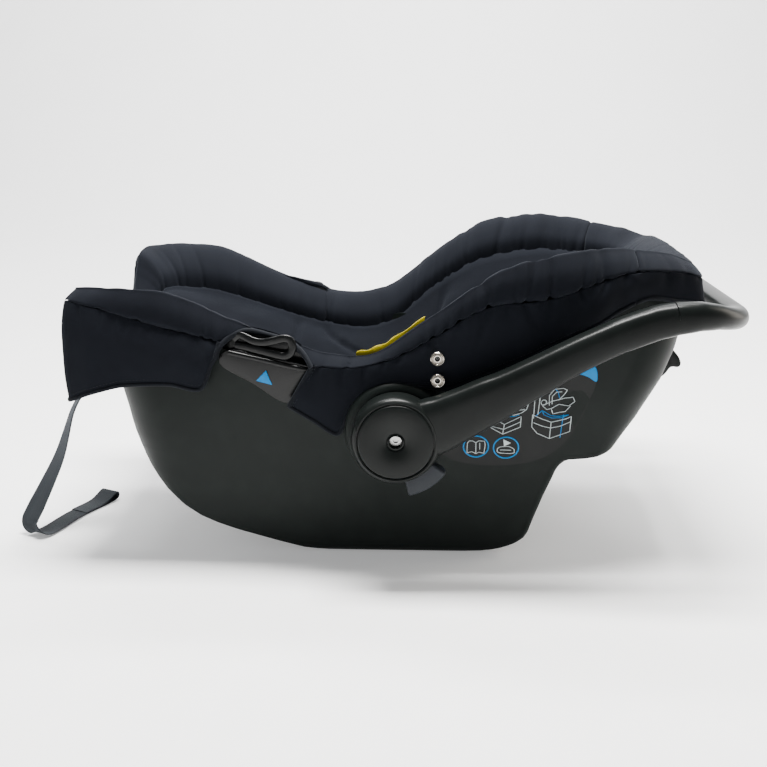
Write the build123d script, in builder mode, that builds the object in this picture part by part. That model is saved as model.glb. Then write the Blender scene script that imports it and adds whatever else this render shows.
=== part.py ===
"""Infant carrier: moulded rocker shell, foam liner, sewn cover, harness and a swing handle.

Frame: X runs from the foot end (-) to the head end (+), Y across, +Z up. The origin is under
the middle of the seat, on the surface that the rocker stands on. All sizes are millimetres.
"left" is the child's left hand, which is the -Y side.
"""
import os
from math import cos, radians, sin, tan

from build123d import *

os.makedirs("parts", exist_ok=True)

# ---- driving dimensions ---------------------------------------------------------------
WALL = 4.0                  # moulded wall of the shell
LINER = 12.0                # foam liner
PAD = 24.0                  # seat pad
BASE_HALF = 120.0           # half width of the rocker at the floor
DRAFT = 52.0 / 240.0        # how far each side wall leans out per millimetre of height
CEILING = 400.0             # construction height, above everything
PLAN_ROUND = 8.0            # rounding of the plan outline's corners
FIT = 0.4                   # gap kept between separate soft and hard pieces

HUB_X, HUB_Z = -5.6, 161.0  # handle axis
BOSS_R = 46.0               # shell boss behind the handle drum
BOSS_FACE = 186.0           # |Y| of the boss's outer face
DRUM_R = 44.0
DRUM_IN, DRUM_OUT = 187.0, 215.5
ARM_IN = 189.0              # |Y| of the arm's inner face
BOW_OUT, BOW_END = 216.0, 346.0  # outermost |Y| of the arms, and the bow's far edge in X
POCKET_R = 36.5             # lock pocket inside the drum
POCKET_DEPTH = 203.0        # |Y| of the pocket's floor
CAP_R = 38.0
BOLT_R = 4.0
RUNNING = 0.05              # radial play of a pin in its bore
TAB_ANGLE = -56.5           # direction of the release tab from the hub centre
TAB_HALF = 21.5             # half of the angle it spans
TAB_R = 62.0
TAB_TRAVEL = 5.0
STUD_R = 7.0                # press studs that hold the canopy
COVER_HALF = 184.0          # |Y| of the cover beside the handle
FRONT_LIP = 238.0           # height of the cover's low middle at the foot end
TEETH = 24

STRAP_W, STRAP_T = 25.0, 1.6

# ---- outlines, each a short list of corners -------------------------------------------
SHELL_SIDE = [(-345, CEILING), (-330, 300), (-314, 230), (-300, 165), (-285, 111), (-259, 72),
              (-222, 42), (-165, 20), (-115, 6), (-75, 0), (60, 0), (113, 8), (134, 20), (150, 68),
              (164, 107), (178, 117), (216, 123), (262, 172), (285, 229), (300, 290), (322, CEILING)]
SHELL_PLAN = [(-332, 90), (-312, 130), (-262, 143), (-190, 150), (-130, 167), (-70, 174),
              (115, 174), (185, 166), (236, 144), (262, 120), (288, 88), (308, 50)]
COVER_PLAN = [(-345, 110), (-338, 140), (-300, 151), (-240, 154), (-190, 160), (-130, 178),
              (-75, COVER_HALF), (120, COVER_HALF), (190, 178), (245, 162), (298, 126), (310, 60)]
SEAT_CURVE = [(-345, 196), (-270, 186), (-200, 160), (-120, 120), (-50, 90), (20, 78), (90, 92),
              (160, 135), (230, 200), (300, 285), (330, 330)]
CREST = [(-360, 292), (-307, 297), (-270, 297), (-240, 293), (-210, 284), (-180, 275), (-150, 265),
         (-120, 257), (-91, 247), (-57, 238), (-32, 242), (-7, 252), (27, 275), (56, 294), (75, 304),
         (104, 319), (132, 331), (160, 339), (188, 344), (212, 345), (235, 345), (264, 338),
         (284, 330), (320, 312)]
RIM = [(-360, 270), (-247, 272), (-205, 258), (-178, 240), (-135, 236), (-97, 227), (-57, 218),
       (-32, 222), (-7, 232), (27, 254), (75, 284), (132, 312), (188, 325), (235, 326), (270, 316),
       (330, 285)]
HEM = [(-360, 190), (-300, 203), (-263, 208), (-187, 206), (-160, 208), (-117, 189), (-54, 161),
       (45, 203), (100, 228), (180, 262), (240, 294), (330, 302)]
ARM_UPPER = [(18, 199), (57, 215), (95, 231), (134, 250), (171, 268), (208, 285), (245, 298),
             (283, 302), (302, 299), (321, 292), (352, 287)]
ARM_LOWER = [(352, 266), (321, 268), (300, 273), (266, 270), (229, 257), (192, 241), (154, 219),
             (116, 195), (78, 170), (30, 141)]
GUIDE_PANEL = [(-174, 226), (-115.5, 197), (-94.5, 225), (-100, 232), (-172, 243)]
GUIDE_FINGER = [(-176, 238), (-166, 241), (-162, 249), (-120, 244), (-108, 247), (-107, 254),
                (-120, 258), (-150, 255), (-160, 260), (-176, 260)]
BELT_MARK = [(-135, 224), (-145, 215), (-128, 209)]
LABEL = [(44, 134), (70, 125), (132, 130), (160, 145), (180, 165), (196, 205), (196, 226),
         (188, 231), (160, 226), (100, 190), (60, 164)]
BELT_HOOK = [(269, 172), (278, 172), (290, 178), (301, 184), (308, 194), (315, 194), (317, 198),
             (312, 208), (300, 218), (297, 214), (304, 206), (302, 200), (292, 196), (286, 206),
             (287, 226), (281, 226)]

# the webbing that tightens the harness: out of its adjuster, down, and along the floor
STRAP_ROUTE = [(-325.5, -40, 211), (-329, -41, 195), (-343, -43, 181), (-365, -46, 165),
               (-380, -50, 142), (-387, -56, 116), (-395, -63, 88), (-408, -72, 60),
               (-421, -82, 33), (-430, -89, 15), (-416, -90, 2.6), (-408, -68, 1.4),
               (-402, -44, 1.0), (-395, -22, 1.0), (-386, -4, 1.0)]
STRAP_TURN_FROM, STRAP_TURN_TO = -90.0, -25.0   # heading of the webbing's width, top and floor
STRAP_TURN_END = 0.62                           # share of the length over which it turns


# ---- helpers --------------------------------------------------------------------------
def save(part, name):
    """Label a finished piece and write it."""
    part.label = name
    export_step(part, "parts/" + name + ".step")
    print(name, "volume", round(part.volume / 1000.0, 1), "cm3")
    return part


def mirrored(points):
    """Close a half outline (x, +y) into one that is the same on both sides."""
    return points + [(x, -y) for x, y in reversed(points)]


def prism(plane, points, amount, start=0.0):
    """A polygon drawn on a plane and extruded."""
    with BuildPart() as solid:
        with BuildSketch(plane.offset(start)):
            with BuildLine():
                Polyline(*points, close=True)
            make_face()
        extrude(amount=amount)
    return solid.part


def side_prism(points, side, near, far):
    """A side-view polygon made solid between two distances from the middle plane."""
    with BuildPart() as solid:
        with BuildSketch(Plane.XZ.offset(-side * near)):
            with BuildLine():
                Polyline(*points, close=True)
            make_face()
        extrude(amount=-side * (far - near))
    return solid.part


def beyond(curve, shift, level):
    """Everything between a side-view curve, moved up by shift, and a level."""
    raised = [(x, z + shift) for x, z in curve]
    with BuildPart() as solid:
        with BuildSketch(Plane.XZ):
            with BuildLine():
                Spline(*raised)
                Polyline(raised[-1], (raised[-1][0], level), (raised[0][0], level), raised[0])
            make_face()
        extrude(amount=CEILING, both=True)
    return solid.part


def above(curve, shift):
    return beyond(curve, shift, CEILING + 60)


def below(curve, shift):
    return beyond(curve, shift, -60)


def shrunk(points, centre, half, inset):
    """An outline drawn in towards a centre so that its ends move by inset."""
    return [(centre[0] + (x - centre[0]) * (1 - inset / half[0]),
             centre[1] + (y - centre[1]) * (1 - inset / half[1])) for x, y in points]


def envelope(inset):
    """The shell's outer form, moved in by inset, or out where it is negative."""
    top = CEILING + 20
    middle = (SHELL_PLAN[0][0] + SHELL_PLAN[-1][0]) / 2
    length = (SHELL_PLAN[-1][0] - SHELL_PLAN[0][0]) / 2
    width = max(y for x, y in SHELL_PLAN)
    trapezoid = [(-BASE_HALF, 0), (BASE_HALF, 0), (BASE_HALF + DRAFT * top, top),
                 (-BASE_HALF - DRAFT * top, top)]
    with BuildPart() as solid:
        with BuildSketch(Plane.XZ):
            with BuildLine():
                Polyline(*shrunk(SHELL_SIDE, (middle, CEILING), (length, CEILING), inset), close=True)
            make_face()
        extrude(amount=300, both=True)
        with BuildSketch(Plane.XY.offset(-20)):
            with BuildLine():
                Polyline(*shrunk(mirrored(SHELL_PLAN), (middle, 0), (length, width), inset), close=True)
            rounded = make_face()
            fillet(rounded.vertices(), PLAN_ROUND)
        extrude(amount=CEILING + 60, mode=Mode.INTERSECT)
        with BuildSketch(Plane.YZ):
            with BuildLine():
                Polyline(*shrunk(trapezoid, (0, top), (BASE_HALF + DRAFT * 200, top), inset), close=True)
            make_face()
        extrude(amount=420, both=True, mode=Mode.INTERSECT)
    return solid.part


def combine(first, cut=(), keep=(), join=()):
    """One solid with others joined to it, then kept inside some and cut by others."""
    with BuildPart() as solid:
        add(first)
        for other in join:
            add(other)
        for other in keep:
            add(other, mode=Mode.INTERSECT)
        for other in cut:
            add(other, mode=Mode.SUBTRACT)
    return solid.part


def drum(side, radius, near, far, x=HUB_X, z=HUB_Z):
    """A cylinder across the seat, between two distances from the middle plane."""
    with BuildPart() as solid:
        with BuildSketch(Plane.XZ.offset(-side * near)):
            with Locations((x, z)):
                Circle(radius)
        extrude(amount=-side * (far - near))
    return solid.part


def band(low, high, plan):
    """A sheet that follows the seat between two heights above it, cut to a plan outline."""
    sheet = combine(above(SEAT_CURVE, low), cut=[above(SEAT_CURVE, high)])
    return combine(prism(Plane.XY, plan, CEILING), keep=[sheet])


def front_dip(level):
    """The low middle of the foot end, between the two wings, above a level."""
    plan = [(-350, -112), (-284, -112), (-284, 112), (-350, 112)]
    return prism(Plane.XY, plan, CEILING, start=level)


SIDES = [("left", -1), ("right", 1)]

# ---- shell, liner and pad: three buckets, one inside the other ------------------------
outer = envelope(0)
shell_inside = envelope(WALL)
hollow = combine(shell_inside, keep=[above(SEAT_CURVE, 0)])
floor_sheet = combine(shell_inside, keep=[below(SEAT_CURVE, 0)], cut=[below(SEAT_CURVE, -WALL)])
with BuildPart() as underside:
    with BuildSketch(Plane.XY.offset(-5)):
        with Locations((-45, 0)):
            RectangleRounded(320, 180, 30)
    extrude(amount=60)

boss_parts = []
boss_cuts = []
for name, side in SIDES:
    boss_parts.append(drum(side, BOSS_R, 148, BOSS_FACE))
    boss_cuts.append(drum(side, 34, 176, BOSS_FACE + 1))
    boss_cuts.append(drum(side, BOLT_R + RUNNING, 140, BOSS_FACE + 1))
    boss_cuts.append(drum(side, 14, 120, 150))
hook_bores = [combine(Plane.YZ.offset(250) * Pos(y, 190) * Cylinder(2.1, 80)) for y in (-30, 30)]
wall_ring = combine(outer, cut=[shell_inside], keep=[below(RIM, 0)])
shell = combine(wall_ring, join=[floor_sheet] + boss_parts,
                cut=[underside.part, front_dip(FRONT_LIP - 30)] + boss_cuts + hook_bores)
save(shell, "shell")

liner_outer = envelope(WALL + FIT)
liner_inner = envelope(WALL + FIT + LINER)
liner = combine(liner_outer, keep=[above(SEAT_CURVE, FIT), below(RIM, -22)],
                cut=[combine(liner_inner, keep=[above(SEAT_CURVE, LINER)])]
                + [drum(side, BOSS_R + 1, 138, 160) for name, side in SIDES]
                + [front_dip(FRONT_LIP - 30)])
save(liner, "foam_liner")

pad_outer = envelope(WALL + LINER + 2 * FIT)
pad_inner = envelope(WALL + LINER + PAD)
pad_top = LINER + PAD
seat_pad = combine(pad_outer, keep=[above(SEAT_CURVE, LINER + FIT), below(RIM, -6)],
                   cut=[combine(pad_inner, keep=[above(SEAT_CURVE, pad_top)]), front_dip(FRONT_LIP - 4)])
save(seat_pad, "seat_pad")

head_inner = envelope(WALL + LINER + PAD + 18)
head_zone = prism(Plane.XY, [(150, -130), (275, -130), (275, 130), (150, 130)], CEILING)
head_support = combine(pad_inner, keep=[above(SEAT_CURVE, pad_top + FIT), below(RIM, -24), head_zone],
                       cut=[combine(head_inner, keep=[above(SEAT_CURVE, pad_top + 12)])])
save(head_support, "head_support")

# ---- cover: four sewn panels round the rim ---------------------------------------------
covered = combine(envelope(-FIT), keep=[below(RIM, FIT)])
cover_form = combine(prism(Plane.XY, mirrored(COVER_PLAN), CEILING), keep=[above(HEM, 0), below(CREST, 0)],
                     cut=[pad_inner, covered, front_dip(FRONT_LIP)])
foot_zone = prism(Plane.XY, [(-350, -200), (-187, -200), (-187, 200), (-350, 200)], CEILING)
head_zone_all = prism(Plane.XY, [(232, -200), (320, -200), (320, 200), (232, 200)], CEILING)
skirt_room = prism(Plane.XY, [(-337, -140), (-290, -140), (-290, 140), (-337, 140)], 262)
swing_clear = combine(drum(1, 900, -COVER_HALF - 20, COVER_HALF + 20),
                      cut=[drum(1, 340, -COVER_HALF - 20, COVER_HALF + 20)])
save(combine(cover_form, keep=[foot_zone], cut=[skirt_room]), "cover_foot")
save(combine(cover_form, keep=[head_zone_all], cut=[swing_clear]), "cover_head")
guide_gap = [(-187.6, 150), (-117, 150), (-117, 189), (-90, 225), (-98, 250), (-116, 264),
             (-150, 280), (-187.6, 280)]
for name, side in SIDES:
    side_zone = prism(Plane.XY, [(-186.6, side * 40), (231.6, side * 40), (231.6, side * 200),
                                 (-186.6, side * 200)], CEILING)
    panel = combine(cover_form, keep=[side_zone],
                    cut=[side_prism(guide_gap, side, 150, 200), drum(side, BOSS_R + 6, 120, 200)]
                    + [drum(side, 2.2, 160, 200, x, z) for x, z in ((34.7, 238.2), (35.1, 215.8))])
    save(panel, "cover_side_" + name)

# press studs that hold the canopy: two on each side
with BuildPart() as studs:
    for name, side in SIDES:
        for x, z in ((34.7, 238.2), (35.1, 215.8)):
            with BuildSketch(Plane.XZ.offset(-side * (COVER_HALF + 0.2))):
                with Locations((x, z)):
                    Circle(STUD_R)
                    Circle(1.8, mode=Mode.SUBTRACT)
            extrude(amount=-side * 3.4)
            with BuildSketch(Plane.XZ.offset(-side * (COVER_HALF - 5))):
                with Locations((x, z)):
                    Circle(1.9)
            extrude(amount=-side * 6)
save(studs.part, "snap_studs")

# ---- fittings on the shell -------------------------------------------------------------
for name, side in SIDES:
    guide = combine(side_prism(GUIDE_PANEL, side, 120, 180),
                    join=[side_prism(GUIDE_FINGER, side, 120, 180)],
                    keep=[envelope(-7)], cut=[envelope(-0.3)])
    save(guide, "belt_guide_" + name)
    mark = combine(side_prism(BELT_MARK, side, 120, 185), keep=[envelope(-7.5)], cut=[envelope(-7.1)])
    save(mark, "belt_mark_" + name)
    label = combine(side_prism(LABEL, side, 100, 180), keep=[envelope(-0.6)],
                    cut=[envelope(-0.2), drum(side, BOSS_R + 1, 100, 200)])
    save(label, "instruction_label_" + name)

hook = combine(side_prism(BELT_HOOK, 1, -45, 45), cut=[envelope(-0.3)] + hook_bores)
save(hook, "shoulder_belt_hook")
with BuildPart() as hook_screws:
    for y in (-30, 30):
        with BuildSketch(Plane.YZ.offset(262)):
            with Locations((y, 190)):
                Circle(2.0)
        extrude(amount=26)
        with BuildSketch(Plane.YZ.offset(257)):
            with Locations((y, 190)):
                Circle(4.0)
        extrude(amount=6)
save(hook_screws.part, "hook_screws")

warning_label = combine(prism(Plane.XY, [(-52, -164), (34, -164), (34, -142), (-52, -142)], CEILING),
                        keep=[above(CREST, 0.3), below(CREST, 1.0)])
save(warning_label, "warning_label")

# ---- handle hubs -----------------------------------------------------------------------


def toothed(side, outer_radius, root_radius, near, far, inside):
    """A gear ring across the seat, with its teeth inside or outside."""
    low = min(outer_radius, root_radius)
    with BuildPart() as gear:
        with BuildSketch(Plane.XZ.offset(-side * near)):
            with Locations((HUB_X, HUB_Z)):
                Circle(outer_radius if inside else root_radius)
                if inside:
                    Circle(root_radius, mode=Mode.SUBTRACT)
                with PolarLocations(low - 1 if inside else low, TEETH):
                    Rectangle(4.4, 3.2, mode=Mode.ADD)
        extrude(amount=-side * (far - near))
    return gear.part


for name, side in SIDES:
    ring = toothed(side, 33.9, 30.5, 176.1, 184.6, True)
    save(combine(ring, cut=[drum(side, 28.6, 170, 190)]), "ring_gear_" + name)
    gear = toothed(side, 30.0, 27.0, 187.8, 195, False)
    save(combine(gear, cut=[drum(side, 9.6, 180, 200)]), "lock_gear_" + name)

    shank = combine(drum(side, BOLT_R, 142, 205.4), join=[drum(side, 5.8, 205.4, 210.4)])
    with BuildPart() as bolt:
        add(shank)
        with BuildSketch(Plane.XZ.offset(-side * 208)):
            with Locations((HUB_X, HUB_Z)):
                RegularPolygon(3.0, 6)
        extrude(amount=-side * 4, mode=Mode.SUBTRACT)
    save(bolt.part, "pivot_bolt_" + name)
    washer = combine(drum(side, 6.2, 204.1, 205.3), cut=[drum(side, BOLT_R + RUNNING, 200, 210)])
    save(washer, "pivot_washer_" + name)
    with BuildPart() as nut:
        with BuildSketch(Plane.XZ.offset(-side * 143)):
            with Locations((HUB_X, HUB_Z)):
                RegularPolygon(7.5, 6)
                Circle(BOLT_R + RUNNING, mode=Mode.SUBTRACT)
        extrude(amount=-side * 6.4)
    save(nut.part, "pivot_nut_" + name)

    with BuildPart() as spring:
        with BuildLine():
            Helix(pitch=2.5, height=6.2, radius=14)
        with BuildSketch(Plane(origin=(14, 0, 0), z_dir=(0, 1, 0))):
            Circle(0.7)
        sweep(is_frenet=True)
    seat = Plane(origin=(HUB_X, side * 195.9, HUB_Z), z_dir=(0, side, 0))
    save(seat * spring.part, "lock_spring_" + name)

# ---- swing handle ----------------------------------------------------------------------
with BuildPart() as handle:
    with BuildSketch(Plane.XZ):
        with BuildLine():
            Spline(*ARM_UPPER)
            Line(ARM_UPPER[-1], ARM_LOWER[0])
            Spline(*ARM_LOWER)
            Line(ARM_LOWER[-1], ARM_UPPER[0])
        make_face()
    extrude(amount=230, both=True)
    with BuildSketch():
        with BuildLine():
            Polyline((-60, BOW_OUT), (BOW_END, BOW_OUT), (BOW_END, -BOW_OUT), (-60, -BOW_OUT),
                     close=True)
        bow = make_face()
        fillet(bow.vertices().sort_by(Axis.X)[-2:], 78)
        with BuildLine():
            Polyline((-70, ARM_IN), (BOW_END - 25, ARM_IN), (BOW_END - 25, -ARM_IN), (-70, -ARM_IN),
                     close=True)
        inner_bow = make_face(mode=Mode.PRIVATE)
        add(inner_bow.face().fillet_2d(52, inner_bow.vertices().sort_by(Axis.X)[-2:]), mode=Mode.SUBTRACT)
    extrude(amount=CEILING, mode=Mode.INTERSECT)
bow_form = handle.part

SPLIT_X = 258.0


def sector(side, inner, outer_radius, half, near, far):
    """A ring sector about the hub, centred on the tab's direction."""
    with BuildPart() as solid:
        with BuildSketch(Plane.XZ.offset(-side * near)):
            with Locations((HUB_X, HUB_Z)):
                Circle(outer_radius)
                Circle(inner, mode=Mode.SUBTRACT)
            reach = outer_radius * 1.6
            ends = [TAB_ANGLE - half, TAB_ANGLE + half]
            with BuildLine():
                Polyline((HUB_X, HUB_Z),
                         *[(HUB_X + reach * cos(radians(a)), HUB_Z + reach * sin(radians(a))) for a in ends],
                         close=True)
            make_face(mode=Mode.INTERSECT)
        extrude(amount=-side * (far - near))
    return solid.part


for name, side in SIDES:
    arm_zone = prism(Plane.XY, [(-80, side * 180), (SPLIT_X, side * 180), (SPLIT_X, side * 230),
                                (-80, side * 230)], CEILING)
    cuts = [drum(side, POCKET_R, DRUM_IN - 1, POCKET_DEPTH),
            sector(side, 30, DRUM_R + 20, TAB_HALF + 5, 189, 206.6),
            drum(side, CAP_R + 0.1, DRUM_OUT - 2.6, DRUM_OUT + 2),
            drum(side, 6.6, 204, DRUM_OUT + 1)]
    hub_core = combine(drum(side, 9.4, DRUM_IN, POCKET_DEPTH + 1),
                       cut=[drum(side, BOLT_R + RUNNING, 180, 206)])
    arm_blade = combine(bow_form, keep=[arm_zone], cut=[drum(side, POCKET_R, 180, 230)])
    rim_drum = combine(drum(side, DRUM_R, DRUM_IN, DRUM_OUT), join=[arm_blade], cut=cuts)
    arm = combine(rim_drum, join=[hub_core], cut=[drum(side, BOLT_R + RUNNING, 180, 206)])
    save(arm, "handle_arm_" + name)
    cap = combine(drum(side, CAP_R, DRUM_OUT - 2.5, DRUM_OUT + 2),
                  cut=[drum(side, 6.6, 200, 220), drum(side, 8.5, DRUM_OUT + 1, 220)])
    save(cap, "hub_cap_" + name)
    tab = sector(side, 38.5, TAB_R, TAB_HALF, 190, 206)
    save(tab, "release_tab_" + name)
grip_zone = prism(Plane.XY, [(SPLIT_X + 0.1, -230), (400, -230), (400, 230), (SPLIT_X + 0.1, 230)], CEILING)
save(combine(bow_form, keep=[grip_zone]), "handle_grip")

# ---- harness ---------------------------------------------------------------------------
buckle_plane = Plane(origin=(-38, 0, 141), x_dir=(0.95, 0, -0.31), z_dir=(0.31, 0, 0.95))
with BuildPart() as buckle:
    with BuildSketch(buckle_plane):
        RectangleRounded(58, 46, 9)
    extrude(amount=9, both=True)
    with BuildSketch(buckle_plane.offset(9)):
        with Locations((-12, 0)):
            RectangleRounded(21, 19, 3)
    extrude(amount=-14, mode=Mode.SUBTRACT)
    with BuildSketch(buckle_plane):
        with Locations((24, 0)):
            Rectangle(22, 33)
    extrude(amount=1.6, both=True, mode=Mode.SUBTRACT)
save(buckle.part, "buckle_body")
with BuildPart() as button:
    with BuildSketch(buckle_plane.offset(10.5)):
        with Locations((-12, 0)):
            RectangleRounded(20.4, 18.4, 3)
    extrude(amount=-9)
save(button.part, "buckle_button")
for name, side in SIDES:
    with BuildPart() as tongue:
        with BuildSketch(buckle_plane):
            with Locations((34, side * 8.5)):
                Rectangle(36, 15)
            with Locations((45, side * 9.5)):
                Rectangle(5, 11, mode=Mode.SUBTRACT)
        extrude(amount=1.2, both=True)
    save(tongue.part, "buckle_tongue_" + name)
    reach = [(24, side * 3), (120, side * 42), (120, side * 66), (22, side * 27)]
    save(band(pad_top + 8, pad_top + 8 + STRAP_T, reach), "shoulder_strap_" + name)
    pad_plan = [(40, side * 4), (118, side * 32), (118, side * 76), (38, side * 46)]
    save(band(pad_top + 10, pad_top + 17, pad_plan), "shoulder_pad_" + name)
    rear = [(66, side * 3), (150, side * 42), (150, side * 66), (66, side * 27)]
    save(band(-WALL - 4.4, -WALL - 2.8, rear), "rear_strap_" + name)

save(band(pad_top + 0.6, pad_top + 5.6, [(-100, -30), (-24, -30), (-24, 30), (-100, 30)]), "crotch_pad")
with BuildPart() as crotch:
    with BuildSketch(buckle_plane):
        with Locations((-38, 0)):
            Rectangle(17, STRAP_W)
    extrude(amount=STRAP_T / 2, both=True)
save(crotch.part, "crotch_strap")
save(band(-WALL - 9, -WALL - 6, [(-90, -22), (-76, -22), (-76, 22), (-90, 22)]), "crotch_anchor")
save(band(-WALL - 6.4, -WALL - 2.4, [(44, -30), (64, -30), (64, 30), (44, 30)]), "splitter_plate")
inner_plan = [(-270, -12.5), (42, -12.5), (42, 12.5), (-270, 12.5)]
save(band(-WALL - 5.2, -WALL - 3.6, inner_plan), "inner_strap")

# ---- harness adjuster on the front wall ------------------------------------------------
housing_side = [(-325, 204), (-300, 204), (-300, 228), (-317, 228), (-325, 222)]
strap_slot = [(-330, 208), (-316, 208), (-316, 214), (-330, 214)]
housing = combine(side_prism(housing_side, 1, -62, -18),
                  cut=[envelope(-0.3), side_prism(strap_slot, 1, -54, -26),
                       side_prism([(-330, 215.5), (-318, 215.5), (-318, 230), (-330, 230)], 1, -56, -24),
                       drum(1, 1.55, -60, -20, -321.4, 220)])
save(housing, "adjuster_housing")
save(drum(1, 1.5, -60, -20, -321.4, 220), "adjuster_pin")
lever = combine(side_prism([(-324.4, 216.6), (-319, 216.6), (-319, 223), (-324, 231), (-330, 233),
                            (-331, 231), (-325, 226)], 1, -55, -25),
                cut=[drum(1, 1.56, -60, -20, -321.4, 220)])
save(lever, "adjuster_lever")

# ---- the free end of the adjuster strap ------------------------------------------------


def corner_radii(route):
    """The largest even arcs that the runs of a route leave room for, one for each corner."""
    radii = []
    for before, at, after in zip(route, route[1:], route[2:]):
        first, second = Vector(at) - Vector(before), Vector(after) - Vector(at)
        turn = first.get_angle(second)
        half = radians(turn / 2)
        radii.append(0.45 * min(first.length, second.length) / tan(half))
    return radii


radii = corner_radii(STRAP_ROUTE)
with BuildLine() as strap_path:
    FilletPolyline(*STRAP_ROUTE, radius=radii)
strap_line = strap_path.wire()
print("strap radii", [round(r, 1) for r in radii], "length", round(strap_line.length, 1))

stations = 30


def strap_corners(u):
    """The four corners of the webbing's section at a share u of its path."""
    at, ahead = strap_line @ u, strap_line % u
    heading = STRAP_TURN_FROM + (STRAP_TURN_TO - STRAP_TURN_FROM) * min(u / STRAP_TURN_END, 1) ** 1.3
    across = Vector(cos(radians(heading)), sin(radians(heading)), 0)
    across = (across - ahead * across.dot(ahead)).normalized() * (STRAP_W / 2)
    up = ahead.cross(across).normalized() * (STRAP_T / 2)
    return [at + across + up, at - across + up, at - across - up, at + across - up]


sections = [strap_corners(i / (stations - 1)) for i in range(stations)]
faces = [Face(Wire.make_polygon(sections[0])), Face(Wire.make_polygon(sections[-1]))]
for one, two in zip(sections, sections[1:]):
    for i in range(4):
        j = (i + 1) % 4
        faces.append(Face(Wire.make_polygon([one[i], one[j], two[i]])))
        faces.append(Face(Wire.make_polygon([one[j], two[j], two[i]])))
strap = Solid(Shell(faces))
low = strap.bounding_box().min.Z
print("strap volume / (section x length)",
      round(strap.volume / (STRAP_W * STRAP_T * strap_line.length), 3), "lowest", round(low, 2))
save(strap, "adjuster_strap")

# sewn hand loop on the strap's end: a flat ring of webbing, open where it is doubled
loop_start, loop_dir = Vector(STRAP_ROUTE[-1]), (strap_line % 1.0)
loop_plane = Plane(origin=loop_start + loop_dir * 0.4 + Vector(0, 0, STRAP_T / 2 - 0.9 + 0.1),
                   x_dir=loop_dir, z_dir=loop_dir.cross(Vector(0, 0, 1)))
with BuildPart() as loop:
    with BuildSketch(loop_plane):
        with BuildLine():
            Polyline((0, 0), (36, 0), (41, 3), (42, 7), (39, 10), (33, 10), (14, 5.2), (0, 3.6), close=True)
        make_face()
        with BuildLine():
            Polyline((15, 1.8), (35, 1.8), (39, 4), (39.5, 6.5), (37, 8), (33, 8), (15, 3.4), close=True)
        make_face(mode=Mode.SUBTRACT)
    extrude(amount=STRAP_W / 2, both=True)
save(loop.part, "adjuster_strap_loop")
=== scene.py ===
"""Infant carrier: the finished look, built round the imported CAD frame.

Lengths in the classes are millimetres, in the frame of the part: X from the foot end to the
head end, Y across, Z up. MM turns them into the scene's metres when a mesh is made.
"""
import logging
import math
from dataclasses import dataclass, field
from enum import Enum
from typing import Callable, Sequence

import bmesh
import bpy
import numpy as np
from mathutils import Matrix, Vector


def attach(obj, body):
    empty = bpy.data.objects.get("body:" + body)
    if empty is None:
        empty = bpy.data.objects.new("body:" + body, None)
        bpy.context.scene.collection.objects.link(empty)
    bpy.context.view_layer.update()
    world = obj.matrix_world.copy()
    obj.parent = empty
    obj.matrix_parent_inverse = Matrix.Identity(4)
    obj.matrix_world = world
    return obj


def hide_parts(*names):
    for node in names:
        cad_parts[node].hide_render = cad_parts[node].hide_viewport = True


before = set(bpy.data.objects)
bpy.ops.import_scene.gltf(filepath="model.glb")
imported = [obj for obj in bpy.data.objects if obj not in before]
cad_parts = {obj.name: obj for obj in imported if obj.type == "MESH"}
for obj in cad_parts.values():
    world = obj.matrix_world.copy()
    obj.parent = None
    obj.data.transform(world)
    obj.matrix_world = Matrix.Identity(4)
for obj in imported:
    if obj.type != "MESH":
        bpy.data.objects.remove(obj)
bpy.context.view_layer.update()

MM = 0.001
LOG = logging.getLogger("carrier")
Point = tuple[float, float, float]
SIDES: dict[str, int] = {"left": -1, "right": 1}
HUB_X, HUB_Z = -5.6, 161.0


# ======================================================================================
# Shader node groups
# ======================================================================================

def new_group(name: str, inputs: dict[str, float], outputs: Sequence[tuple[str, str]]) -> tuple:
    """Start a shader node group with named sockets.

    Args:
        name: the group's name.
        inputs: default value of each number that it takes.
        outputs: name and socket type of each result.

    Returns:
        The group, its input node and its output node.
    """
    group = bpy.data.node_groups.new(name, "ShaderNodeTree")
    group.interface.new_socket("Vector", in_out="INPUT", socket_type="NodeSocketVector")
    for label, value in inputs.items():
        socket = group.interface.new_socket(label, in_out="INPUT", socket_type="NodeSocketFloat")
        socket.default_value = value
    for label, kind in outputs:
        group.interface.new_socket(label, in_out="OUTPUT", socket_type=kind)
    return group, group.nodes.new("NodeGroupInput"), group.nodes.new("NodeGroupOutput")


def math_node(tree: bpy.types.NodeTree, operation: str, a: object, b: object = 0.0) -> object:
    """Add one Math node.

    Args:
        tree: the node tree.
        operation: Blender's name of the operation.
        a: first socket or number.
        b: second socket or number.

    Returns:
        The node's output socket.
    """
    node = tree.nodes.new("ShaderNodeMath")
    node.operation = operation
    for slot, value in enumerate((a, b)):
        if isinstance(value, (int, float)):
            node.inputs[slot].default_value = value
        else:
            tree.links.new(value, node.inputs[slot])
    return node.outputs[0]


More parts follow.
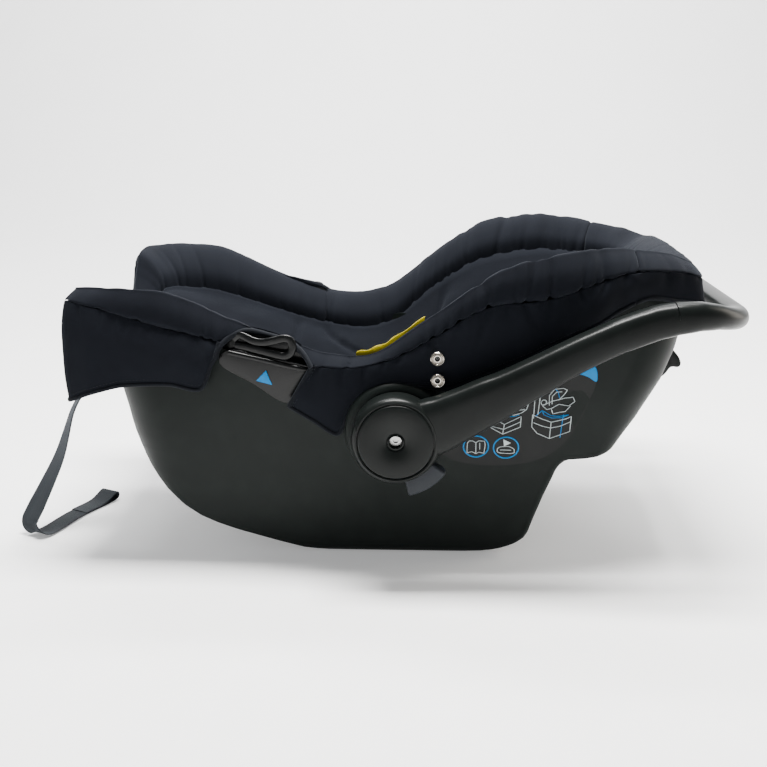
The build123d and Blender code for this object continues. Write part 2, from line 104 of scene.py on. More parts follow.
def weave_group() -> bpy.types.NodeTree:
    """Over-and-under threads in a metric UV space, with a slow cloudiness and painted shade: the threads'
    height lightens their crossings and darkens the hollows between them.

    Returns:
        The group: Height of the threads, Shade for colour (including the painted shade of the weave) and
            Rough for roughness.
    """
    group, start, end = new_group("thread_weave", {"Pitch": 0.9, "Cloud": 0.5},
                                  [("Height", "NodeSocketFloat"), ("Shade", "NodeSocketFloat"),
                                   ("Rough", "NodeSocketFloat")])
    split = group.nodes.new("ShaderNodeSeparateXYZ")
    group.links.new(start.outputs["Vector"], split.inputs[0])
    turns = math_node(group, "DIVIDE", 2 * math.pi * 1000.0, start.outputs["Pitch"])
    waves = []
    for axis in (0, 1):
        angle = math_node(group, "MULTIPLY", split.outputs[axis], turns)
        waves.append(math_node(group, "SINE", angle))
    crossing = math_node(group, "MULTIPLY", waves[0], waves[1])
    height = math_node(group, "MULTIPLY_ADD", crossing, 0.5)
    height.node.inputs[2].default_value = 0.5
    cloud = group.nodes.new("ShaderNodeTexNoise")
    cloud.inputs["Scale"].default_value = 24.0
    cloud.inputs["Detail"].default_value = 3.0
    group.links.new(start.outputs["Vector"], cloud.inputs["Vector"])
    lint = group.nodes.new("ShaderNodeTexNoise")
    lint.inputs["Scale"].default_value = 420.0
    lint.inputs["Detail"].default_value = 2.0
    group.links.new(start.outputs["Vector"], lint.inputs["Vector"])
    patch = math_node(group, "MULTIPLY", cloud.outputs["Fac"], start.outputs["Cloud"])
    fleck = math_node(group, "MULTIPLY", lint.outputs["Fac"], 0.35)
    # painted shade: the threads' height lightens their crossings and darkens the hollows between them
    relief = math_node(group, "MULTIPLY", height, 0.3)
    shade = math_node(group, "ADD", patch, math_node(group, "ADD", fleck, relief))
    group.links.new(height, end.inputs["Height"])
    group.links.new(shade, end.inputs["Shade"])
    group.links.new(lint.outputs["Fac"], end.inputs["Rough"])
    return group


def grain_group() -> bpy.types.NodeTree:
    """Fine moulded grain with faint scuffs and flow marks.

    Returns:
        The group: Height of the grain, Shade for colour and Rough for roughness.
    """
    group, start, end = new_group("moulded_grain", {"Scale": 900.0, "Scuff": 0.5},
                                  [("Height", "NodeSocketFloat"), ("Shade", "NodeSocketFloat"),
                                   ("Rough", "NodeSocketFloat")])
    fine = group.nodes.new("ShaderNodeTexNoise")
    fine.inputs["Detail"].default_value = 2.0
    group.links.new(start.outputs["Vector"], fine.inputs["Vector"])
    group.links.new(start.outputs["Scale"], fine.inputs["Scale"])
    flow = group.nodes.new("ShaderNodeTexNoise")
    flow.inputs["Scale"].default_value = 9.0
    flow.inputs["Detail"].default_value = 4.0
    group.links.new(start.outputs["Vector"], flow.inputs["Vector"])
    scuff = group.nodes.new("ShaderNodeTexNoise")
    scuff.inputs["Scale"].default_value = 60.0
    scuff.inputs["Detail"].default_value = 6.0
    scuff.inputs["Distortion"].default_value = 1.4
    group.links.new(start.outputs["Vector"], scuff.inputs["Vector"])
    mark = math_node(group, "MULTIPLY", math_node(group, "GREATER_THAN", scuff.outputs["Fac"], 0.66),
                     start.outputs["Scuff"])
    shade = math_node(group, "ADD", flow.outputs["Fac"], math_node(group, "MULTIPLY", mark, 0.25))
    rough = math_node(group, "ADD", math_node(group, "MULTIPLY", fine.outputs["Fac"], 0.5),
                      math_node(group, "MULTIPLY", flow.outputs["Fac"], 0.5))
    group.links.new(fine.outputs["Fac"], end.inputs["Height"])
    group.links.new(shade, end.inputs["Shade"])
    group.links.new(rough, end.inputs["Rough"])
    return group


def wear_group() -> bpy.types.NodeTree:
    """A soft mask of rubbed places, spread as noise.

    Returns:
        The group: Mask from 0 to 1.
    """
    group, start, end = new_group("rubbed_places", {"Amount": 0.5}, [("Mask", "NodeSocketFloat")])
    noise = group.nodes.new("ShaderNodeTexNoise")
    noise.inputs["Scale"].default_value = 34.0
    noise.inputs["Detail"].default_value = 5.0
    group.links.new(start.outputs["Vector"], noise.inputs["Vector"])
    ramp = group.nodes.new("ShaderNodeMapRange")
    ramp.inputs["From Min"].default_value = 0.5
    ramp.inputs["From Max"].default_value = 0.72
    group.links.new(noise.outputs["Fac"], ramp.inputs["Value"])
    mask = math_node(group, "MULTIPLY", ramp.outputs[0], start.outputs["Amount"])
    group.links.new(mask, end.inputs["Mask"])
    return group


GROUPS: dict[str, bpy.types.NodeTree] = {}


def effect(tree: bpy.types.NodeTree, name: str, vector: object, **values: float) -> bpy.types.Node:
    """Place one of the shared groups in a material.

    Args:
        tree: the material's node tree.
        name: key in GROUPS.
        vector: socket that places the pattern.
        values: numbers for the group's own inputs.

    Returns:
        The group node.
    """
    node = tree.nodes.new("ShaderNodeGroup")
    node.node_tree = GROUPS[name]
    tree.links.new(vector, node.inputs["Vector"])
    for label, value in values.items():
        node.inputs[label].default_value = value
    return node


# ======================================================================================
# Finishes
# ======================================================================================

class Space(Enum):
    """Where a pattern is placed from."""
    OBJECT = "Object"
    UV = "UV"


@dataclass(frozen=True)
class Finish:
    """What every finish has: a name, two colours that it varies between, and its gloss."""
    name: str
    dark: Point
    light: Point
    roughness: float = 0.5
    spread: float = 0.1
    bump: float = 0.2

    def start(self, space: Space) -> tuple:
        """Make an empty material with its shader, and the socket that places patterns.

        Args:
            space: object or UV coordinates.

        Returns:
            Material, node tree, Principled BSDF and the coordinate socket.
        """
        material = bpy.data.materials.new(self.name)
        material.use_nodes = True
        tree = material.node_tree
        shader = tree.nodes["Principled BSDF"]
        place = tree.nodes.new("ShaderNodeTexCoord")
        material.diffuse_color = (*self.light, 1.0)
        return material, tree, shader, place.outputs[space.value]

    def paint(self, tree: bpy.types.NodeTree, shader: bpy.types.Node, shade: object, rough: object,
              height: object, distance: float) -> None:
        """Drive colour, roughness and bump from a group's outputs.

        Args:
            tree: the material's node tree.
            shader: its Principled BSDF.
            shade: socket that mixes the two colours.
            rough: socket that spreads the roughness.
            height: socket of the surface's height.
            distance: depth of the bump in metres.
        """
        mix = tree.nodes.new("ShaderNodeMix")
        mix.data_type = "RGBA"
        mix.inputs[6].default_value = (*self.dark, 1.0)
        mix.inputs[7].default_value = (*self.light, 1.0)
        tree.links.new(shade, mix.inputs[0])
        tree.links.new(mix.outputs[2], shader.inputs["Base Color"])
        span = tree.nodes.new("ShaderNodeMapRange")
        span.inputs["To Min"].default_value = self.roughness - self.spread
        span.inputs["To Max"].default_value = self.roughness + self.spread
        tree.links.new(rough, span.inputs["Value"])
        tree.links.new(span.outputs[0], shader.inputs["Roughness"])
        bump = tree.nodes.new("ShaderNodeBump")
        bump.inputs["Strength"].default_value = self.bump
        bump.inputs["Distance"].default_value = distance
        tree.links.new(height, bump.inputs["Height"])
        tree.links.new(bump.outputs[0], shader.inputs["Normal"])


@dataclass(frozen=True)
class Cloth(Finish):
    """Woven fabric: threads with painted shade in the weave's hollows, sheen, and a slow cloudiness of tone.
    """
    pitch: float = 0.9
    cloud: float = 0.6
    sheen: float = 0.06
    sheen_tint: Point = (0.55, 0.6, 0.7)

    def build(self) -> bpy.types.Material:
        """Make the material.

        Returns:
            The fabric material.
        """
        material, tree, shader, place = self.start(Space.UV)
        weave = effect(tree, "weave", place, Pitch=self.pitch, Cloud=self.cloud)
        self.paint(tree, shader, weave.outputs["Shade"], weave.outputs["Rough"], weave.outputs["Height"],
                   0.0004)
        shader.inputs["Sheen Weight"].default_value = self.sheen
        shader.inputs["Sheen Roughness"].default_value = 0.45
        shader.inputs["Sheen Tint"].default_value = (*self.sheen_tint, 1.0)
        shader.inputs["Specular IOR Level"].default_value = 0.06
        return material


@dataclass(frozen=True)
class Plastic(Finish):
    """Moulded plastic: grain, flow marks and rubbed places."""
    grain: float = 900.0
    scuff: float = 0.4
    coat: float = 0.0
    spec: float = 0.5

    def build(self) -> bpy.types.Material:
        """Make the material.

        Returns:
            The plastic material.
        """
        material, tree, shader, place = self.start(Space.OBJECT)
        grain = effect(tree, "grain", place, Scale=self.grain, Scuff=self.scuff)
        worn = effect(tree, "wear", place, Amount=0.35)
        shade = math_node(tree, "ADD", grain.outputs["Shade"], worn.outputs["Mask"])
        self.paint(tree, shader, shade, grain.outputs["Rough"], grain.outputs["Height"], 0.0002)
        shader.inputs["Specular IOR Level"].default_value = self.spec
        shader.inputs["Coat Weight"].default_value = self.coat
        shader.inputs["Coat Roughness"].default_value = 0.08
        return material


@dataclass(frozen=True)
class Metal(Finish):
    """Plated or brushed metal."""

    def build(self) -> bpy.types.Material:
        """Make the material.

        Returns:
            The metal material.
        """
        material, tree, shader, place = self.start(Space.OBJECT)
        grain = effect(tree, "grain", place, Scale=1400.0, Scuff=0.8)
        self.paint(tree, shader, grain.outputs["Shade"], grain.outputs["Rough"], grain.outputs["Height"],
                   0.0001)
        shader.inputs["Metallic"].default_value = 1.0
        return material


FABRIC = Cloth("cover_fabric", (0.0022, 0.0027, 0.0042), (0.0068, 0.008, 0.0115), 0.85, 0.08, 0.35)
LINING = Cloth("pad_fabric", (0.0021, 0.0025, 0.0039), (0.0062, 0.0074, 0.0106), 0.87, 0.07, 0.35, pitch=1.0)
HEM_TAPE = Cloth("hem_tape", (0.0026, 0.003, 0.0042), (0.009, 0.0102, 0.013), 0.75, 0.1, 0.5, pitch=1.3)
THREAD = Cloth("stitch_thread", (0.006, 0.0065, 0.008), (0.02, 0.022, 0.026), 0.6, 0.1, 0.4, pitch=0.5)
STRAP = Cloth("webbing", (0.008, 0.0092, 0.011), (0.03, 0.034, 0.038), 0.7, 0.1, 0.6, pitch=1.6)
SHELL = Plastic("shell_plastic", (0.0032, 0.0048, 0.0043), (0.0068, 0.0094, 0.0084), 0.5, 0.05, 0.25,
                spec=0.1)
HANDLE = Plastic("handle_plastic", (0.0026, 0.0034, 0.0032), (0.0054, 0.0068, 0.0064), 0.32, 0.04, 0.15,
                 spec=0.12)
GUIDE = Plastic("guide_plastic", (0.0022, 0.0024, 0.0026), (0.005, 0.0054, 0.0056), 0.24, 0.05, 0.05,
                coat=0.04, spec=0.16)
TAB = Plastic("tab_plastic", (0.009, 0.011, 0.014), (0.017, 0.02, 0.025), 0.42, 0.06, 0.2, spec=0.15)
BLUE = Plastic("mark_blue", (0.0, 0.13, 0.36), (0.0, 0.19, 0.46), 0.4, 0.05, 0.05, scuff=0.05, spec=0.1)
LINE = Plastic("print_line", (0.28, 0.33, 0.34), (0.5, 0.56, 0.56), 0.4, 0.05, 0.05, scuff=0.1)
FILM = Plastic("label_film", (0.003, 0.0036, 0.0036), (0.006, 0.007, 0.007), 0.34, 0.04, 0.05, spec=0.12)
YELLOW = Plastic("label_yellow", (0.7, 0.55, 0.01), (0.9, 0.74, 0.03), 0.5, 0.08, 0.2)
BUCKLE = Plastic("buckle_plastic", (0.005, 0.005, 0.0055), (0.011, 0.011, 0.012), 0.3, 0.06, 0.15)
RED = Plastic("button_red", (0.35, 0.008, 0.008), (0.55, 0.016, 0.014), 0.3, 0.05, 0.1)
NYLON = Plastic("gear_plastic", (0.1, 0.1, 0.1), (0.2, 0.2, 0.19), 0.5, 0.08, 0.2)
STEEL = Metal("steel", (0.3, 0.3, 0.3), (0.55, 0.55, 0.54), 0.35, 0.08, 0.1)
NICKEL = Metal("nickel", (0.42, 0.39, 0.35), (0.72, 0.68, 0.62), 0.24, 0.06, 0.08)
FLOOR = Plastic("floor", (0.78, 0.78, 0.78), (0.84, 0.84, 0.84), 0.7, 0.05, 0.05, grain=60.0, scuff=0.0)
PAINTS: dict[str, bpy.types.Material] = {}


def paint_of(finish: Finish) -> bpy.types.Material:
    """The material of a finish, built once.

    Args:
        finish: what the piece is made of.

    Returns:
        Its material.
    """
    if finish.name not in PAINTS:
        PAINTS[finish.name] = finish.build()
    return PAINTS[finish.name]


# ======================================================================================
# Mesh helpers
# ======================================================================================

def make_mesh(name: str, points: np.ndarray, faces: list, finish: Finish, uvs: np.ndarray | None = None,
              smooth: float = 38.0) -> bpy.types.Object:
    """Turn points in millimetres into a shaded object at the origin.

    Args:
        name: object name.
        points: n by 3 points in millimetres.
        faces: lists of point numbers.
        finish: the piece's finish.
        uvs: n by 2 metric texture places in metres, one for each point.
        smooth: faces that meet at more than this angle, in degrees, keep a sharp edge.

    Returns:
        The object.
    """
    mesh = bpy.data.meshes.new(name)
    mesh.from_pydata((np.asarray(points, float) * MM).tolist(), [], faces)
    mesh.validate()
    mesh.polygons.foreach_set("use_smooth", [True] * len(mesh.polygons))
    layer = mesh.uv_layers.new(name="UVMap")
    if uvs is None:
        flat = np.asarray(points, float)[:, :2] * MM
        uvs = flat + np.asarray(points, float)[:, 2:3] * MM * 0.7
    loop_points = np.zeros(len(mesh.loops), int)
    mesh.loops.foreach_get("vertex_index", loop_points)
    layer.data.foreach_set("uv", np.asarray(uvs, float)[loop_points].ravel())
    mesh.materials.append(paint_of(finish))
    obj = bpy.data.objects.new(name, mesh)
    bpy.context.scene.collection.objects.link(obj)
    mark_sharp(mesh, smooth)
    return obj


def mark_sharp(mesh: bpy.types.Mesh, degrees: float) -> None:
    """Keep edges sharp where faces meet at more than an angle, and turn all faces outwards.

    Args:
        mesh: the mesh to change.
        degrees: the angle.
    """
    work = bmesh.new()
    work.from_mesh(mesh)
    bmesh.ops.recalc_face_normals(work, faces=work.faces)
    limit = math.radians(degrees)
    for edge in work.edges:
        edge.smooth = not (len(edge.link_faces) == 2 and edge.calc_face_angle(0.0) > limit)
    work.to_mesh(mesh)
    work.free()


def apply_modifiers(obj: bpy.types.Object) -> bpy.types.Object:
    """Bake an object's modifiers into a plain mesh.

    Args:
        obj: the object.

    Returns:
        The same object, with no modifier left.
    """
    shape = bpy.data.meshes.new_from_object(obj.evaluated_get(bpy.context.evaluated_depsgraph_get()))
    obj.modifiers.clear()
    old, obj.data = obj.data, shape
    bpy.data.meshes.remove(old)
    return obj


def grid_faces(rows: int, columns: int, wrap_rows: bool = False, wrap_columns: bool = False) -> list:
    """Quads of a grid whose points are stored row by row.

    Args:
        rows: number of rows of points.
        columns: number of points in a row.
        wrap_rows: whether the last row joins the first.
        wrap_columns: whether each row is a ring.

    Returns:
        The faces.
    """
    faces = []
    for r in range(rows if wrap_rows else rows - 1):
        for c in range(columns if wrap_columns else columns - 1):
            r2, c2 = (r + 1) % rows, (c + 1) % columns
            faces.append((r * columns + c, r * columns + c2, r2 * columns + c2, r2 * columns + c))
    return faces


def smooth_curve(points: Sequence[Sequence[float]], count: int, closed: bool = False) -> np.ndarray:
    """A Catmull-Rom curve through points, evenly spread over its own parameter.

    Args:
        points: the points that it passes.
        count: number of samples.
        closed: whether it is a ring.

    Returns:
        count samples.
    """
    given = np.asarray(points, float)
    n = len(given)
    spans = n if closed else n - 1
    places = np.linspace(0, spans, count, endpoint=not closed)
    index = np.minimum(places.astype(int), spans - 1)
    t = (places - index)[:, None]
    pick = (lambda k: given[k % n]) if closed else (lambda k: given[np.clip(k, 0, n - 1)])
    a, b, c, d = pick(index - 1), pick(index), pick(index + 1), pick(index + 2)
    square, cube = 2 * a - 5 * b + 4 * c - d, 3 * b - a - 3 * c + d
    return 0.5 * (2 * b + (c - a) * t + square * t ** 2 + cube * t ** 3)


def value_along(table: Sequence[tuple[float, float]], x: np.ndarray | float) -> np.ndarray | float:
    """Read a smooth curve given as (x, value) pairs in order of x.

    Args:
        table: the pairs.
        x: where to read it.

    Returns:
        The value at x.
    """
    given = np.asarray(table, float)
    return np.interp(x, given[:, 0], given[:, 1])


def ease(low: float, high: float, x: np.ndarray | float) -> np.ndarray | float:
    """A smooth step between two values.

    Args:
        low: where it starts.
        high: where it ends.
        x: where it is read.

    Returns:
        Share from 0 to 1.
    """
    t = np.clip((np.asarray(x, float) - low) / (high - low), 0, 1)
    return t * t * (3 - 2 * t)


def plate(name: str, outline: Sequence[Sequence[float]], near: float, far: float, finish: Finish,
          bevel: float = 0.8, segments: int = 3, lean: Callable | None = None) -> bpy.types.Object:
    """A side-view outline made solid across Y, with rounded edges.

    Args:
        name: object name.
        outline: (x, z) corners.
        near: Y of one face.
        far: Y of the other face.
        finish: its finish.
        bevel: radius of the rounding.
        segments: number of steps in the rounding.
        lean: optional function (x, z) -> extra Y that fits the plate to a wall.

    Returns:
        The object.
    """
    count = len(outline)
    points = []
    for y in (near, far):
        for x, z in outline:
            points.append((x, y + (lean(x, z) if lean else 0.0), z))
    faces = [tuple(range(count)), tuple(range(2 * count - 1, count - 1, -1))]
    for i in range(count):
        j = (i + 1) % count
        faces.append((i, i + count, j + count, j))
    obj = make_mesh(name, np.array(points), faces, finish, smooth=50)
    if bevel:
        rounding = obj.modifiers.new("rounding", "BEVEL")
        rounding.width = bevel * MM
        rounding.segments = segments
        rounding.limit_method = "ANGLE"
        rounding.angle_limit = math.radians(40)
        apply_modifiers(obj)
        mark_sharp(obj.data, 50)
    return obj


def lathe(name: str, profile: Sequence[tuple[float, float]], side: int, finish: Finish,
          x: float = HUB_X, z: float = HUB_Z, steps: int = 96) -> bpy.types.Object:
    """Turn a profile of (radius, |Y|) round an axis across the seat.

    Args:
        name: object name.
        profile: corners from the axis out and back; the ends lie on the axis or join in a ring.
        side: -1 for the near side, 1 for the far one.
        finish: its finish.
        x: X of the axis.
        z: Z of the axis.
        steps: faces round the axis.

    Returns:
        The object.
    """
    ring = profile[0][0] > 1e-6
    points, rows = [], []
    for radius, y in profile:
        if radius < 1e-6:
            rows.append([len(points)])
            points.append((x, side * y, z))
            continue
        rows.append(list(range(len(points), len(points) + steps)))
        for k in range(steps):
            a = 2 * math.pi * k / steps
            points.append((x + radius * math.cos(a), side * y, z + radius * math.sin(a)))
    faces = []
    pairs = list(zip(rows, rows[1:])) + ([(rows[-1], rows[0])] if ring else [])
    for one, two in pairs:
        for k in range(steps):
            j = (k + 1) % steps
            if len(one) == 1:
                faces.append((one[0], two[k], two[j]))
            elif len(two) == 1:
                faces.append((one[k], two[0], one[j]))
            else:
                faces.append((one[k], two[k], two[j], one[j]))
    return make_mesh(name, np.array(points), faces, finish, smooth=42)


def join(name: str, pieces: Sequence[bpy.types.Object]) -> bpy.types.Object:
    """Join pieces of one body into one object.

    Args:
        name: name of the result.
        pieces: the pieces, which keep their materials.

    Returns:
        The joined object.
    """
    with bpy.context.temp_override(active_object=pieces[0], selected_editable_objects=list(pieces)):
        bpy.ops.object.join()
    pieces[0].name = name
    return pieces[0]


def noise(points: np.ndarray, scale: float, seed: int = 0) -> np.ndarray:
    """Smooth value noise from -1 to 1 on a lattice, the same on every run.

    Args:
        points: n by 2 or n by 3 places.
        scale: size of one lattice cell, in the units of the places.
        seed: picks another field.

    Returns:
        n values.
    """
    place = np.asarray(points, float) / scale
    if place.shape[1] == 2:
        place = np.hstack([place, np.zeros((len(place), 1))])
    base = np.floor(place).astype(np.int64)
    part = place - base
    part = part * part * (3 - 2 * part)
    total = np.zeros(len(place))
    for corner in range(8):
        bits = np.array([corner & 1, corner >> 1 & 1, corner >> 2 & 1])
        cell = base + bits
        mixed = cell[:, 0] * 374761393 + cell[:, 1] * 668265263 + cell[:, 2] * 2147483647 + seed * 144665
        mixed = (mixed ^ (mixed >> 13)) * 1274126177
        value = ((mixed ^ (mixed >> 16)) & 0xFFFF) / 32767.5 - 1.0
        weight = np.prod(np.where(bits == 1, part, 1 - part), axis=1)
        total += value * weight
    return total


def tube(name: str, path: np.ndarray, width: float, height: float, finish: Finish, sides: int = 10,
         up: Point = (0, 0, 1), power: float = 2.0, closed: bool = False) -> bpy.types.Object:
    """Sweep a superellipse along a path.

    Args:
        name: object name.
        path: n by 3 points.
        width: full width across the path, level with up's plane.
        height: full height along up.
        finish: its finish.
        sides: points round the section.
        up: rough direction of the section's height.
        power: 2 for an ellipse, more for a squarer section.
        closed: whether the path is a ring.

    Returns:
        The object.
    """
    path = np.asarray(path, float)
    count = len(path)
    ahead = np.gradient(path, axis=0)
    if closed:
        ahead = np.roll(path, -1, axis=0) - np.roll(path, 1, axis=0)
    ahead /= np.linalg.norm(ahead, axis=1)[:, None]
    across = np.cross(ahead, np.asarray(up, float))
    across /= np.maximum(np.linalg.norm(across, axis=1)[:, None], 1e-9)
    lift = np.cross(across, ahead)
    points = []
    for k in range(sides):
        a = 2 * math.pi * k / sides
        ca, sa = math.cos(a), math.sin(a)
        px = math.copysign(abs(ca) ** (2 / power), ca) * width / 2
        pz = math.copysign(abs(sa) ** (2 / power), sa) * height / 2
        points.append(path + across * px + lift * pz)
    grid = np.stack(points, axis=1).reshape(-1, 3)
    faces = grid_faces(count, sides, wrap_rows=closed, wrap_columns=True)
    if not closed:
        faces.append(tuple(range(sides)))
        faces.append(tuple(range((count - 1) * sides, count * sides)))
    length = np.concatenate([[0], np.cumsum(np.linalg.norm(np.diff(path, axis=0), axis=1))])
    round_share = np.arange(sides) * (width + height) * 1.5 / sides
    uvs = np.stack([np.repeat(length, sides), np.tile(round_share, count)],
                   axis=1) * MM
    return make_mesh(name, grid, faces, finish, uvs, smooth=60)


def slab(name: str, outer: np.ndarray, inner: np.ndarray, finish: Finish,
         uvs: np.ndarray) -> bpy.types.Object:
    """A sewn panel: an outer grid of points and an inner one, closed round all four edges.

    Args:
        name: object name.
        outer: rows by columns by 3 points of the face that shows.
        inner: the same grid for the back.
        finish: its finish.
        uvs: rows by columns by 2 metric places in metres.

    Returns:
        The closed panel.
    """
    rows, columns = outer.shape[:2]
    total = rows * columns
    faces = grid_faces(rows, columns)
    faces += [tuple(i + total for i in reversed(face)) for face in grid_faces(rows, columns)]
    border = [c for c in range(columns)] + [r * columns + columns - 1 for r in range(1, rows)]
    border += [(rows - 1) * columns + c for c in range(columns - 2, -1, -1)]
    border += [r * columns for r in range(rows - 2, 0, -1)]
    for a, b in zip(border, border[1:] + border[:1]):
        faces.append((a, b, b + total, a + total))
    points = np.vstack([outer.reshape(-1, 3), inner.reshape(-1, 3)])
    both = np.vstack([uvs.reshape(-1, 2), uvs.reshape(-1, 2)])
    return make_mesh(name, points, faces, finish, both, smooth=58)


def along_path(path: np.ndarray) -> np.ndarray:
    """Distance along a line of points.

    Args:
        path: the points.

    Returns:
        Distance of each point from the first.
    """
    return np.concatenate([[0], np.cumsum(np.linalg.norm(np.diff(path, axis=0), axis=1))])


def stitches(name: str, paths: Sequence[np.ndarray], finish: Finish, pitch: float = 3.6,
             length: float = 2.4, radius: float = 0.32) -> bpy.types.Object:
    """Rows of stitches along paths, repeated with geometry nodes and then made plain.

    Args:
        name: object name.
        paths: each an n by 3 line in millimetres.
        finish: the thread's finish.
        pitch: distance between stitches.
        length: length of one stitch.
        radius: half the thread's thickness.

    Returns:
        One mesh with every stitch.
    """
    points = np.vstack(paths) * MM
    edges, at = [], 0
    for path in paths:
        edges += [(at + k, at + k + 1) for k in range(len(path) - 1)]
        at += len(path)
    mesh = bpy.data.meshes.new(name)
    mesh.from_pydata(points.tolist(), edges, [])
    obj = bpy.data.objects.new(name, mesh)
    bpy.context.scene.collection.objects.link(obj)
    tree = bpy.data.node_groups.new("stitch_rows", "GeometryNodeTree")
    tree.interface.new_socket("Rows", in_out="INPUT", socket_type="NodeSocketGeometry")
    sizes = {"Pitch": pitch, "Length": length, "Radius": radius}
    sockets = {label: tree.interface.new_socket(label, in_out="INPUT", socket_type="NodeSocketFloat")
               for label in sizes}
    thread = tree.interface.new_socket("Thread", in_out="INPUT", socket_type="NodeSocketMaterial")
    tree.interface.new_socket("Stitches", in_out="OUTPUT", socket_type="NodeSocketGeometry")
    start, end = tree.nodes.new("NodeGroupInput"), tree.nodes.new("NodeGroupOutput")
    lines = tree.nodes.new("GeometryNodeMeshToCurve")
    spread = tree.nodes.new("GeometryNodeResampleCurve")
    spread.mode = "LENGTH"
    ahead = tree.nodes.new("GeometryNodeInputTangent")
    turn = tree.nodes.new("FunctionNodeAlignRotationToVector")
    turn.axis = "Z"
    one = tree.nodes.new("GeometryNodeMeshUVSphere")
    one.inputs["Segments"].default_value = 6
    one.inputs["Rings"].default_value = 5
    one.inputs["Radius"].default_value = 1.0
    shape = tree.nodes.new("ShaderNodeCombineXYZ")
    put = tree.nodes.new("GeometryNodeInstanceOnPoints")
    plain = tree.nodes.new("GeometryNodeRealizeInstances")
    coat = tree.nodes.new("GeometryNodeSetMaterial")
    link = tree.links.new
    link(start.outputs["Rows"], lines.inputs[0])
    link(lines.outputs[0], spread.inputs["Curve"])
    link(start.outputs["Pitch"], spread.inputs["Length"])
    link(spread.outputs[0], put.inputs["Points"])
    link(one.outputs[0], put.inputs["Instance"])
    link(ahead.outputs[0], turn.inputs["Vector"])
    link(turn.outputs[0], put.inputs["Rotation"])
    link(start.outputs["Radius"], shape.inputs[0])
    link(start.outputs["Radius"], shape.inputs[1])
    link(start.outputs["Length"], shape.inputs[2])
    link(shape.outputs[0], put.inputs["Scale"])
    link(put.outputs[0], plain.inputs[0])
    link(plain.outputs[0], coat.inputs["Geometry"])
    link(start.outputs["Thread"], coat.inputs["Material"])
    link(coat.outputs[0], end.inputs[0])
    modifier = obj.modifiers.new("stitch_rows", "NODES")
    modifier.node_group = tree
    modifier[sockets["Pitch"].identifier] = pitch * MM
    modifier[sockets["Length"].identifier] = length * MM / 2
    modifier[sockets["Radius"].identifier] = radius * MM
    modifier[thread.identifier] = paint_of(finish)
    apply_modifiers(obj)
    if not obj.data.materials:
        obj.data.materials.append(paint_of(finish))
    if not obj.data.uv_layers:
        obj.data.uv_layers.new(name="UVMap")
    obj.data.polygons.foreach_set("use_smooth", [True] * len(obj.data.polygons))
    return obj


# ======================================================================================
# The shell
# ======================================================================================

FRONT_WALL = [(0, -60), (1.5, -90), (5, -112), (9, -126), (14.7, -145.3), (21, -165), (27.2, -184.6),
              (34.8, -204), (44.3, -223.6), (57, -242), (74, -260), (86, -269.7), (98, -278), (110, -284.3),
              (123, -289.5), (137, -293.5), (151, -296.5), (165, -299), (182, -303), (290, -326)]
REAR_WALL = [(0, 64), (4, 98), (8.5, 115), (13.4, 126), (20, 134), (26.7, 137.5), (46, 143), (72, 151),
             (97, 160), (106, 163), (112, 167), (117, 173), (120, 181), (121.5, 200), (123, 209),
             (126, 216), (130, 221), (145, 232), (164, 246.7), (183.5, 259), (204, 271), (235, 283),
             (247, 286), (320, 301)]
WALL_PLAN = [(-340, 142), (-312, 144), (-262, 148), (-190, 156), (-130, 167), (-70, 174), (115, 174),
             (185, 166), (240, 152), (290, 132), (310, 122)]
RIM = [(-360, 236), (-300, 238), (-247, 250), (-205, 248), (-178, 238), (-135, 232), (-97, 225), (-57, 218),
       (-32, 222), (-7, 230), (27, 250), (75, 280), (132, 305), (188, 318), (235, 316), (270, 306),
       (330, 285)]


def wall_half(x: np.ndarray | float, z: np.ndarray | float) -> np.ndarray | float:
    """Half width of the shell away from its ends.

    Args:
        x: place along the seat.
        z: height.

    Returns:
        |Y| of the outer wall.
    """
    slope = 120 + 0.2167 * np.asarray(z, float)
    slope = slope - 7 * np.clip(1 - np.asarray(z, float) / 7, 0, 1) ** 2
    plan = value_along(WALL_PLAN, x)
    gap = (slope - plan) / 6.0
    return plan - 6.0 * np.log1p(np.exp(-np.clip(gap, -40, 40)))


